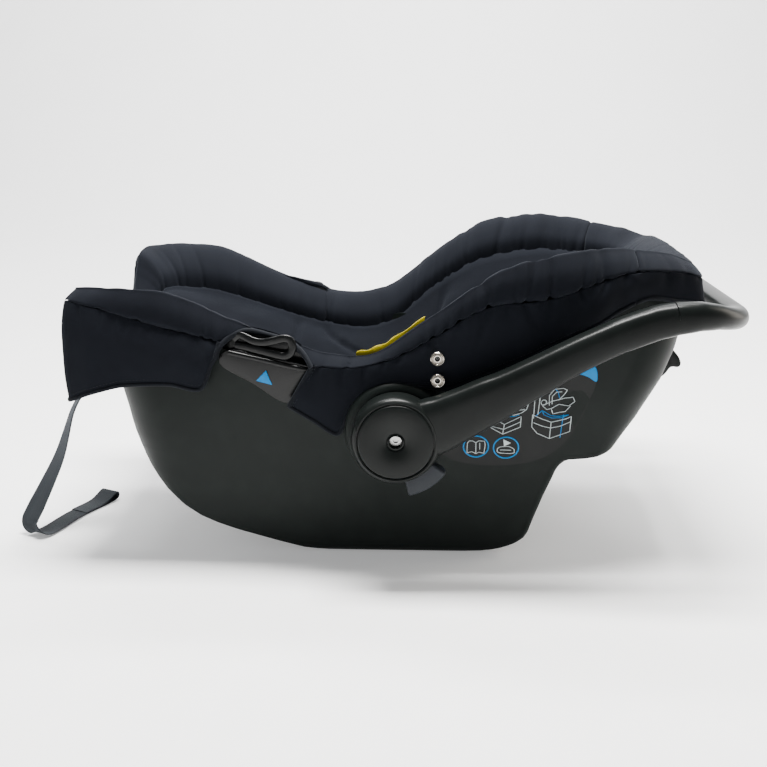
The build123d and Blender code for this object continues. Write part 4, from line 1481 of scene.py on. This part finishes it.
    def build_skirt(self, name: str, rim: Rim, seed: int,
                    bulge: float = 3.0) -> tuple[bpy.types.Object, np.ndarray]:
        """One hanging panel under the roll.

        Args:
            name: object name.
            rim: where it runs.
            seed: picks its wrinkles.
            bulge: how far its middle stands out.

        Returns:
            The closed panel and its hem line.
        """
        rows = 26
        shares = np.linspace(0, 1, rows)
        top = rim.seam - rim.out * 1.0 - np.array([0, 0, 0.5])
        grid = top[None] + (rim.hem - top)[None] * shares[:, None, None]
        depth = np.linalg.norm(rim.hem - rim.seam, axis=1)
        run = along_path(rim.seam)
        drawn = self.gathers(run, rim.station, shares * 1.2, seed)
        flat = grid.reshape(-1, 3)
        folds = (noise(flat, 38, seed) * 1.6 + noise(flat * np.array([1, 1, 0.45]), 14, seed + 1) * 0.6)
        folds = folds.reshape(grid.shape[:2]) * np.sin(np.pi * np.clip(shares * 0.92 + 0.04, 0, 1))[:, None]
        puff = np.sin(np.pi * shares ** 0.8)[:, None] * bulge * np.clip(depth / 40, 0, 1)[None]
        room = np.clip(depth / 25, 0.1, 1)[None]
        grid = grid + rim.out[None] * (puff + (folds - 0.9 * drawn) * room)[..., None]
        limit = np.where((np.abs(grid[..., 1]) > 120) & (grid[..., 0] > -100), 186.6, 400)
        grid[..., 1] = np.sign(grid[..., 1] + 1e-9) * np.minimum(np.abs(grid[..., 1]), limit)
        inner = grid - rim.out[None] * 2.4
        places = np.stack([np.broadcast_to(run, grid.shape[:2]), shares[:, None] * depth[None]], axis=2) * MM
        return slab(name, grid, inner, FABRIC, places), grid[-1]

    def well_points(self, rim: Rim) -> np.ndarray:
        """The inside of the cover, from the roll down to the middle line.

        Args:
            rim: where it runs.

        Returns:
            Rows by columns of points.
        """
        rows = 64
        shares = np.linspace(0, 1, rows) ** 0.9
        start = rim.inner + rim.out * 5.0 - np.array([0, 0, 1.0])
        flat = start[None] + (rim.spine - start)[None] * shares[:, None, None]
        reach = 1 - shares
        fall = np.clip((reach - 0.3) / 0.7, 0, 1) ** 2.1
        grid = flat.copy()
        floor = value_along(PAD_TOP, flat[..., 0])
        blend = np.minimum(1, shares[:, None] * 2.2)
        base = rim.spine[None, :, 2] * (1 - blend) + floor * blend
        grid[..., 2] = base + (start[:, 2] - base) * fall[:, None]
        return grid

    def build_well(self) -> bpy.types.Object:
        """The seat pad and lining, with the seams of its panels and the raised head hugger.

        Returns:
            The closed piece.
        """
        halves = []
        for side in (-1, 1):
            rim = Rim(0, len(STATIONS) - 1, 330, side)
            grid = self.well_points(rim)
            halves.append(grid)
        grid = np.concatenate([halves[0], halves[1][:, ::-1][:, 1:-1]], axis=1)
        normal = self.outward(grid)
        normal *= np.sign(normal[..., 2].mean())
        side_view = grid[..., [0, 2]]
        raised = self.inside(side_view, HUGGER + [(236, 240), (200, 150), (120, 90), (44, 90)])
        wall = ease(56, 84, np.abs(grid[..., 1]))
        lift = raised * wall * 7.0
        groove = np.zeros(grid.shape[:2])
        lines = [([(44, 120)] + HUGGER, 3.4, 3.4), (WEDGE[0], 3.6, 3.0), (WEDGE[1], 3.6, 3.0)]
        for line, deep, wide in lines:
            away = self.distance(side_view, smooth_curve(line, 60))
            groove += deep * np.exp(-(away / wide) ** 2) * ease(48, 70, np.abs(grid[..., 1]))
            along = noise(grid.reshape(-1, 3), 9, 7).reshape(away.shape)
            groove += 0.9 * along * np.exp(-(away / 16) ** 2) * ease(48, 70, np.abs(grid[..., 1]))
        folds = noise(grid.reshape(-1, 3), 60, 21) * 1.8 + noise(grid.reshape(-1, 3), 21, 22) * 0.7
        edge = np.clip(np.linspace(0, 1, grid.shape[0]) / 0.06, 0, 1)[:, None]
        puff = 4.0 * np.exp(-((np.linspace(0, 1, grid.shape[0]) - 0.12) / 0.1) ** 2)[:, None]
        relief = lift - groove + folds.reshape(grid.shape[:2])
        grid = grid + normal * (relief * edge + puff * edge)[..., None]
        rows, columns = grid.shape[:2]
        faces = grid_faces(rows, columns, wrap_columns=True)
        places = np.stack([grid[..., 0], grid[..., 1] + grid[..., 2]], axis=2) * MM
        well = make_mesh("seat_well", grid.reshape(-1, 3), faces, LINING, places.reshape(-1, 2), smooth=70)
        work = bmesh.new()
        work.from_mesh(well.data)
        bmesh.ops.remove_doubles(work, verts=work.verts, dist=0.0004)
        bmesh.ops.recalc_face_normals(work, faces=work.faces)
        work.to_mesh(well.data)
        work.free()
        upward = sum(face.normal.z for face in well.data.polygons)
        if upward < 0:
            well.data.flip_normals()
        thick = well.modifiers.new("padding", "SOLIDIFY")
        thick.thickness = 7 * MM
        thick.offset = -1
        return apply_modifiers(well)

    def inside(self, places: np.ndarray, outline: Sequence[tuple[float, float]]) -> np.ndarray:
        """How far inside an outline each place is, as a share that grows over 9 mm.

        Args:
            places: array of (x, z).
            outline: closed outline.

        Returns:
            Share from 0 to 1 at each place.
        """
        corners = np.asarray(outline, float)
        x, z = places[..., 0], places[..., 1]
        within = np.zeros(x.shape, bool)
        for k in range(len(corners)):
            (x1, z1), (x2, z2) = corners[k - 1], corners[k]
            crosses = ((z1 > z) != (z2 > z)) & (x < (x2 - x1) * (z - z1) / (z2 - z1 + 1e-12) + x1)
            within ^= crosses
        away = self.distance(places, corners)
        return np.where(within, ease(0, 9, away), 0.0)

    def distance(self, places: np.ndarray, line: np.ndarray) -> np.ndarray:
        """Distance from each place to a line.

        Args:
            places: array of (x, z).
            line: points of the line.

        Returns:
            Distance at each place.
        """
        best = np.full(places.shape[:-1], 1e9)
        corners = np.asarray(line, float)
        for a, b in zip(corners, corners[1:]):
            d = b - a
            t = np.clip(((places - a) @ d) / max(float(d @ d), 1e-9), 0, 1)
            best = np.minimum(best, np.linalg.norm(places - (a + t[..., None] * d), axis=-1))
        return best

    def dress(self, obj: bpy.types.Object, slot: str, *nodes: str) -> None:
        """Fix a cloth piece to the seat.

        Args:
            obj: the piece.
            slot: not used.
            nodes: CAD nodes that it stands for.
        """
        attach(obj, "seat")
        if nodes:
            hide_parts(*nodes)
        LOG.info("cloth piece %s: %d faces", obj.name, len(obj.data.polygons))

    def hem_tape(self, name: str, lines: Sequence[np.ndarray]) -> bpy.types.Object:
        """Bound edges along free hems.

        Args:
            name: object name.
            lines: the hem lines.

        Returns:
            The tape, all in one object.
        """
        parts = []
        for line in lines:
            dense = smooth_curve(line[:: max(1, len(line) // 120)], 180)
            parts.append(tube("tape", dense, 3.4, 4.4, HEM_TAPE, sides=10))
        return join(name, parts)

    def build(self) -> None:
        """Make and dress the whole cover."""
        last = len(STATIONS) - 1
        foot = self.both_ways([Rim(0, GAP_FROM, 150, side) for side in (-1, 1)])
        wings = self.both_ways([Rim(0, ROLL_SPLIT, 180, side) for side in (-1, 1)])
        head = self.both_ways([Rim(HEAD_FROM, last, 90, side) for side in (-1, 1)])
        head_roll = self.build_roll("roll_head", head, 31, 0.75)
        foot_roll = self.build_roll("roll_foot", wings, 11)
        foot_skirt, foot_hem = self.build_skirt("skirt_foot", foot, 12, 5.0)
        head_skirt, head_hem = self.build_skirt("skirt_head", head, 32, 1.2)
        self.dress(join("cover_foot_look", [foot_roll, foot_skirt]), "cover_fabric", "cover_foot")
        self.dress(join("cover_head_look", [head_roll, head_skirt]), "cover_fabric", "cover_head")
        hems, edges, rows = [foot_hem, head_hem], [], []
        for label, side in SIDES.items():
            rim = Rim(ROLL_SPLIT, HEAD_FROM, 300, side)
            roll = self.build_roll("roll_side", rim, 5 + side)
            low = Rim(GAP_TO, HEAD_FROM, 260, side)
            skirt, hem = self.build_skirt("skirt_side", low, 15 + side, 2.4)
            self.dress(join("cover_side_look_" + label, [roll, skirt]), "cover_fabric", "cover_side_" + label)
            hems.append(hem)
            front = np.linspace(low.seam[0], hem[0], 20) + low.out[0] * 0.4
            edges.append(front)
            shift = np.array([3.4, 0, 0.6]) + np.array([0, side * 1.0, 0])
            rows += [front + shift, front + shift * 1.5, hem + np.array([0, side * 0.9, 5.0])]
            end = Rim(0, GAP_FROM, 150, side)
            edges.append(np.linspace(end.seam[-1], end.hem[-1], 12) + end.out[-1] * 0.6)
        rows += [foot_hem + foot.out * 0.8 + np.array([0, 0, 5.0])]
        tape = self.hem_tape("hem_binding", hems + edges)
        self.dress(tape, "cover_fabric")
        well = self.build_well()
        self.dress(well, "pad_fabric", "seat_pad", "head_support", "foam_liner")
        thread = stitches("hem_stitches", rows, THREAD)
        self.dress(thread, "cover_fabric")
        self.build_tag()
        self.build_pockets()

    def both_ways(self, halves: Sequence[Rim]) -> Rim:
        """One rim across the middle line from its two halves.

        Args:
            halves: near side and far side.

        Returns:
            The whole rim.
        """
        near, far = halves
        whole = Rim(near.start, near.stop, near.count, 1)
        flip = near.start == 0
        for name in ("station", "seam", "crest", "inner", "hem", "spine", "out"):
            one, two = getattr(near, name), getattr(far, name)
            parts = [one[::-1], two[1:]] if flip else [one, two[::-1][1:]]
            setattr(whole, name, np.concatenate(parts))
        return whole

    def build_tag(self) -> None:
        """A plain warning tag sewn inside the near roll."""
        rim = Rim(17.0, 21.2, 60, -1)
        lift = 3.2 * np.sin(np.pi * np.linspace(0, 1, 60)) ** 0.6 + 0.8 * np.sin(np.linspace(0, 21, 60))
        top = rim.crest - rim.out * 5 + np.array([0, 0, 1.0]) * (1.6 + lift)[:, None]
        low = rim.crest + (rim.inner - rim.crest) * 0.75 + np.array([0, 0, 3.4])
        grid = np.linspace(top, low, 8)
        places = np.stack([grid[..., 0], grid[..., 1]], axis=2) * MM
        tag = slab("warning_tag", grid, grid - rim.out[None] * 0.5, YELLOW, places)
        self.dress(tag, "label_yellow", "warning_label")

    def build_pockets(self) -> None:
        """The flap's binding over each belt guide."""
        for label, side in SIDES.items():
            line = [(-190, 164, 231), (-187, 163, 241), (-178, 160, 250.5), (-166, 158.5, 257.2),
                    (-154, 157.5, 259), (-134, 158.5, 254.4), (-117, 161.5, 250), (-107, 166, 244.6),
                    (-98, 172, 236.5), (-91, 178, 225.5)]
            path = smooth_curve(np.array(line) * np.array([1, side, 1]), 120)
            bound = tube("pocket_binding_" + label, path, 5.0, 5.6, HEM_TAPE, sides=12)
            self.dress(bound, "cover_fabric")


# ======================================================================================
# Harness, small parts, strap
# ======================================================================================

class Harness:
    """The webbing, pads and buckle inside the seat, and the finish of the small CAD parts."""

    NODE_FINISH = {"adjuster_housing": BUCKLE, "adjuster_lever": RED, "adjuster_pin": STEEL,
                   "buckle_body": BUCKLE, "buckle_button": RED, "buckle_tongue_left": STEEL,
                   "buckle_tongue_right": STEEL, "crotch_anchor": STEEL, "crotch_strap": STRAP,
                   "hook_screws": STEEL, "inner_strap": STRAP, "lock_gear_left": NYLON,
                   "lock_gear_right": NYLON, "lock_spring_left": STEEL, "lock_spring_right": STEEL,
                   "pivot_bolt_left": STEEL, "pivot_bolt_right": STEEL, "pivot_nut_left": STEEL,
                   "pivot_nut_right": STEEL, "pivot_washer_left": STEEL, "pivot_washer_right": STEEL,
                   "rear_strap_left": STRAP, "rear_strap_right": STRAP, "ring_gear_left": NYLON,
                   "ring_gear_right": NYLON, "splitter_plate": STEEL}

    def build(self) -> None:
        """Dress the CAD nodes that stay, and replace the soft ones."""
        for name, finish in self.NODE_FINISH.items():
            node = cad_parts[name]
            node.data.materials.clear()
            node.data.materials.append(paint_of(finish))
            LOG.info("CAD piece %s: %s", name, finish.name)
        studs = []
        for side in SIDES.values():
            for x, z in ((34.7, 238.2), (35.1, 215.8)):
                profile = [(2.2, 184.4), (2.2, 186.2), (2.8, 186.9), (3.6, 186.9), (4.2, 186.2), (4.9, 186.0),
                           (5.5, 187.2), (6.3, 187.7), (7.0, 187.2), (7.3, 186.2), (7.0, 184.4)]
                studs.append(lathe("stud", profile, side, NICKEL, x, z, 40))
                post = [(0, 186.4), (1.2, 186.2), (1.4, 184.2), (0, 184.0)]
                studs.append(lathe("post", post, side, BUCKLE, x, z, 24))
        done = join("press_studs", studs)
        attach(done, "seat")
        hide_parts("snap_studs")
        for label, side in SIDES.items():
            self.build_shoulder(label, side)
        self.build_crotch_pad()

    def surface(self, x: float, lift: float) -> float:
        """Height of the seat pad.

        Args:
            x: place along the seat.
            lift: how far above the pad.

        Returns:
            Height there.
        """
        return float(value_along(PAD_TOP, x)) + lift

    def build_shoulder(self, label: str, side: int) -> None:
        """One shoulder strap and its soft pad.

        Args:
            label: left or right.
            side: -1 or 1.
        """
        xs = np.linspace(26, 128, 60)
        centre = np.array([(x, side * (15 + (x - 24) * 0.40), self.surface(x, 9.2)) for x in xs])
        ahead = np.gradient(centre, axis=0)
        ahead /= np.linalg.norm(ahead, axis=1)[:, None]
        strap = tube("shoulder_webbing_" + label, centre, 25.0, 1.6, STRAP, sides=12, power=6)
        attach(strap, "seat")
        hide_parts("shoulder_strap_" + label)
        part = centre[(xs > 42) & (xs < 118)] + np.array([0, 0, 4.5])
        pad = tube("shoulder_padding_" + label, part, 44.0, 9.0, FABRIC, sides=28, power=3.2)
        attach(pad, "seat")
        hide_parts("shoulder_pad_" + label)

    def build_crotch_pad(self) -> None:
        """The soft pad under the buckle."""
        path = np.array([(x, 0, self.surface(x, 4.0)) for x in np.linspace(-100, -26, 40)])
        pad = tube("crotch_padding", path, 60.0, 7.0, FABRIC, sides=28, power=3.4)
        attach(pad, "seat")
        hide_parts("crotch_pad")


class AdjusterStrap:
    """The free webbing that tightens the harness, with its sewn hand loop."""

    ROUTE = [(-325.5, -40, 211), (-329, -41, 195), (-343, -43, 181), (-365, -46, 165), (-380, -50, 142),
             (-387, -56, 116), (-395, -63, 88), (-408, -72, 60), (-421, -82, 33), (-430, -89, 15),
             (-416, -90, 2.6), (-408, -68, 1.4), (-402, -44, 1.0), (-395, -22, 1.0), (-386, -4, 1.0)]
    WIDTH, THICK = 25.0, 1.6

    def read_route(self) -> np.ndarray:
        """Points along the route's NURBS curve.

        Returns:
            Evenly spread points in millimetres.
        """
        curve = bpy.data.curves.new("strap_route", "CURVE")
        curve.dimensions = "3D"
        curve.resolution_u = 24
        line = curve.splines.new("NURBS")
        line.points.add(len(self.ROUTE) - 1)
        for point, place in zip(line.points, self.ROUTE):
            point.co = (*(np.array(place) * MM), 1.0)
        line.order_u = 3
        line.use_endpoint_u = True
        holder = bpy.data.objects.new("strap_route", curve)
        bpy.context.scene.collection.objects.link(holder)
        mesh = bpy.data.meshes.new_from_object(holder.evaluated_get(bpy.context.evaluated_depsgraph_get()))
        points = np.array([v.co for v in mesh.vertices]) / MM
        bpy.data.objects.remove(holder)
        run = along_path(points)
        even = np.linspace(0, run[-1], 260)
        return np.column_stack([np.interp(even, run, points[:, k]) for k in range(3)])

    def build(self) -> None:
        path = self.read_route()
        count = len(path)
        ahead = np.gradient(path, axis=0)
        ahead /= np.linalg.norm(ahead, axis=1)[:, None]
        share = np.linspace(0, 1, count)
        heading = np.radians(-90 + 65 * np.minimum(share / 0.62, 1) ** 1.3)
        across = np.column_stack([np.cos(heading), np.sin(heading), 0 * heading])
        across -= ahead * np.sum(across * ahead, axis=1)[:, None]
        across /= np.linalg.norm(across, axis=1)[:, None]
        up = np.cross(ahead, across)
        profile = self.section()
        points = np.concatenate([path[:, None] + across[:, None] * profile[None, :, :1]
                                 + up[:, None] * profile[None, :, 1:]], axis=1)
        sides = len(profile)
        faces = grid_faces(count, sides, wrap_columns=True)
        faces += [tuple(range(sides)), tuple(range((count - 1) * sides, count * sides))]
        run = along_path(path)
        around = np.linspace(0, 53, sides)
        places = np.stack([np.repeat(run, sides), np.tile(around, count)], axis=1) * MM
        strap = make_mesh("adjuster_webbing", points.reshape(-1, 3), faces, STRAP, places, smooth=50)
        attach(strap, "seat")
        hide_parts("adjuster_strap")
        loop = self.build_loop(path[-1], ahead[-1], across[-1])

    def section(self) -> np.ndarray:
        """Half-round edged section of the webbing, with a faint rib pattern.

        Returns:
            (across, up) corners.
        """
        half, thick = self.WIDTH / 2, self.THICK / 2
        across = np.linspace(-half + 0.8, half - 0.8, 22)
        top = [(u, thick * (0.94 + 0.06 * math.cos(u * 2.2))) for u in across]
        bottom = [(-u, -v) for u, v in top]
        return np.array([(-half, 0.0)] + top + [(half, 0.0)] + bottom)

    def build_loop(self, start: np.ndarray, ahead: np.ndarray, across: np.ndarray) -> bpy.types.Object:
        """The sewn hand loop on the strap's end.

        Args:
            start: where the strap ends.
            ahead: its direction there.
            across: direction of its width.

        Returns:
            The loop.
        """
        level = np.array([ahead[0], ahead[1], 0.0])
        level /= np.linalg.norm(level)
        side = np.array([across[0], across[1], 0.0])
        side -= level * (side @ level)
        side /= np.linalg.norm(side)
        outline = [(-16, 1.9), (-4, 2.0), (10, 2.2), (20, 3.6), (29, 7.0), (35, 9.6), (39, 10.2), (41.4, 8.0),
                   (41.2, 4.6), (38, 2.2), (32, 1.0), (20, 0.6), (8, 0.5), (0.6, 0.6)]
        line = smooth_curve(outline, 120)
        base = start - np.array([0, 0, start[2]])
        path = base + level * line[:, :1] + np.array([0, 0, 1.0]) * (line[:, 1:] + 0.2)
        loop = self.flat_strip("strap_hand_loop", path, side)
        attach(loop, "seat")
        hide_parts("adjuster_strap_loop")
        return loop

    def flat_strip(self, name: str, path: np.ndarray, side: np.ndarray) -> bpy.types.Object:
        """Webbing along a path with its width in one direction.

        Args:
            name: object name.
            path: centre line.
            side: direction of the width.

        Returns:
            The strip.
        """
        ahead = np.gradient(path, axis=0)
        ahead /= np.linalg.norm(ahead, axis=1)[:, None]
        up = np.cross(ahead, side)
        profile = self.section()
        profile[:, 1] *= 0.8
        points = path[:, None] + side[None, None] * profile[None, :, :1] + up[:, None] * profile[None, :, 1:]
        sides = len(profile)
        faces = grid_faces(len(path), sides, wrap_columns=True)
        faces += [tuple(range(sides)), tuple(range((len(path) - 1) * sides, len(path) * sides))]
        places = np.stack([np.repeat(along_path(path), sides), np.tile(np.linspace(0, 53, sides), len(path))],
                          axis=1) * MM
        return make_mesh(name, points.reshape(-1, 3), faces, STRAP, places, smooth=50)


# ======================================================================================
# Studio
# ======================================================================================

class Studio:
    """A pale floor, soft lights and the camera."""

    def light(self, name: str, place: Point, aim: Point, size: float, power: float,
              tint: Point = (1, 1, 1), long: float | None = None) -> None:
        """Add an area light.

        Args:
            name: object name.
            place: where it is, in metres.
            aim: what it points at.
            size: width in metres.
            power: watts.
            tint: colour.
            long: height in metres where it isn't square.
        """
        lamp = bpy.data.lights.new(name, "AREA")
        lamp.energy, lamp.size, lamp.color = power, size, tint
        if long:
            lamp.shape, lamp.size_y = "RECTANGLE", long
        holder = bpy.data.objects.new(name, lamp)
        holder.location = place
        holder.rotation_euler = (Vector(aim) - Vector(place)).to_track_quat("-Z", "Y").to_euler()
        bpy.context.scene.collection.objects.link(holder)

    def build(self) -> None:
        """Make the floor, lights, world and camera."""
        sweep = [(-9.0, 0.0), (2.2, 0.0)] + [(2.2 + 1.2 * math.sin(a), 1.2 - 1.2 * math.cos(a))
                                            for a in np.linspace(0.1, math.pi / 2, 14)] + [(3.4, 7.0)]
        points = np.array([(x * 1000, y * 1000, z * 1000 - 0.6) for y, z in sweep for x in (-9, 9)])
        faces = [(2 * k, 2 * k + 1, 2 * k + 3, 2 * k + 2) for k in range(len(sweep) - 1)]
        floor = make_mesh("studio_floor", points, faces, FLOOR, smooth=60)
        if floor.data.polygons[0].normal.z < 0:
            floor.data.flip_normals()
        shader = next(n for n in floor.data.materials[0].node_tree.nodes if n.type == "BSDF_PRINCIPLED")
        shader.inputs["Emission Color"].default_value = (1, 1, 1, 1)
        shader.inputs["Emission Strength"].default_value = 0.3
        world = bpy.data.worlds.new("studio_air")
        world.use_nodes = True
        world.node_tree.nodes["Background"].inputs["Color"].default_value = (0.92, 0.94, 0.96, 1)
        world.node_tree.nodes["Background"].inputs["Strength"].default_value = 0.22
        bpy.context.scene.world = world
        self.light("key_top", (0.0, -0.1, 1.7), (0, 0, 0.15), 0.9, 125, (1, 0.99, 0.97), 0.4)
        self.light("fill_front", (-1.2, -2.2, 1.6), (0, 0, 0.15), 1.6, 6, (0.93, 0.97, 1))
        bpy.data.objects["fill_front"].visible_glossy = False
        self.light("rim_right", (1.9, 0.3, 0.8), (0.15, 0, 0.2), 0.9, 26, (1, 0.93, 0.84), 1.4)
        self.light("rim_left", (-1.9, 0.6, 0.7), (-0.2, 0, 0.2), 0.9, 10, (0.95, 0.97, 1), 1.4)
        self.light("backdrop", (0.0, 1.6, 3.0), (0, 3.2, 0.6), 3.0, 300, (1, 1, 1), 1.0)
        camera = bpy.data.cameras.new("camera")
        camera.sensor_width, camera.lens = 36.0, 49.87
        camera.clip_start, camera.clip_end = 0.05, 60
        holder = bpy.data.objects.new("camera", camera)
        azimuth, rise, distance = math.radians(2.0), math.radians(15.5), 1.25
        aim = Vector((-0.025, 0.0, 0.161))
        level = math.cos(rise)
        back = Vector((math.sin(azimuth) * level, -math.cos(azimuth) * level, math.sin(rise)))
        holder.location = aim + back * distance
        holder.rotation_euler = (-back).to_track_quat("-Z", "Y").to_euler()
        bpy.context.scene.collection.objects.link(holder)
        bpy.context.scene.camera = holder


def main() -> None:
    """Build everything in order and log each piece."""
    logging.basicConfig(level=logging.INFO, format="%(name)s %(message)s")
    GROUPS.update(weave=weave_group(), grain=grain_group(), wear=wear_group())
    for name, builder in (("studio", Studio()), ("shell", Shell()), ("handle", Handle()), ("cover", Cover()),
                          ("harness", Harness()), ("strap", AdjusterStrap())):
        builder.build()
        LOG.info("built the %s", name)
    bpy.context.view_layer.update()


if __name__ == "__main__":
    main()
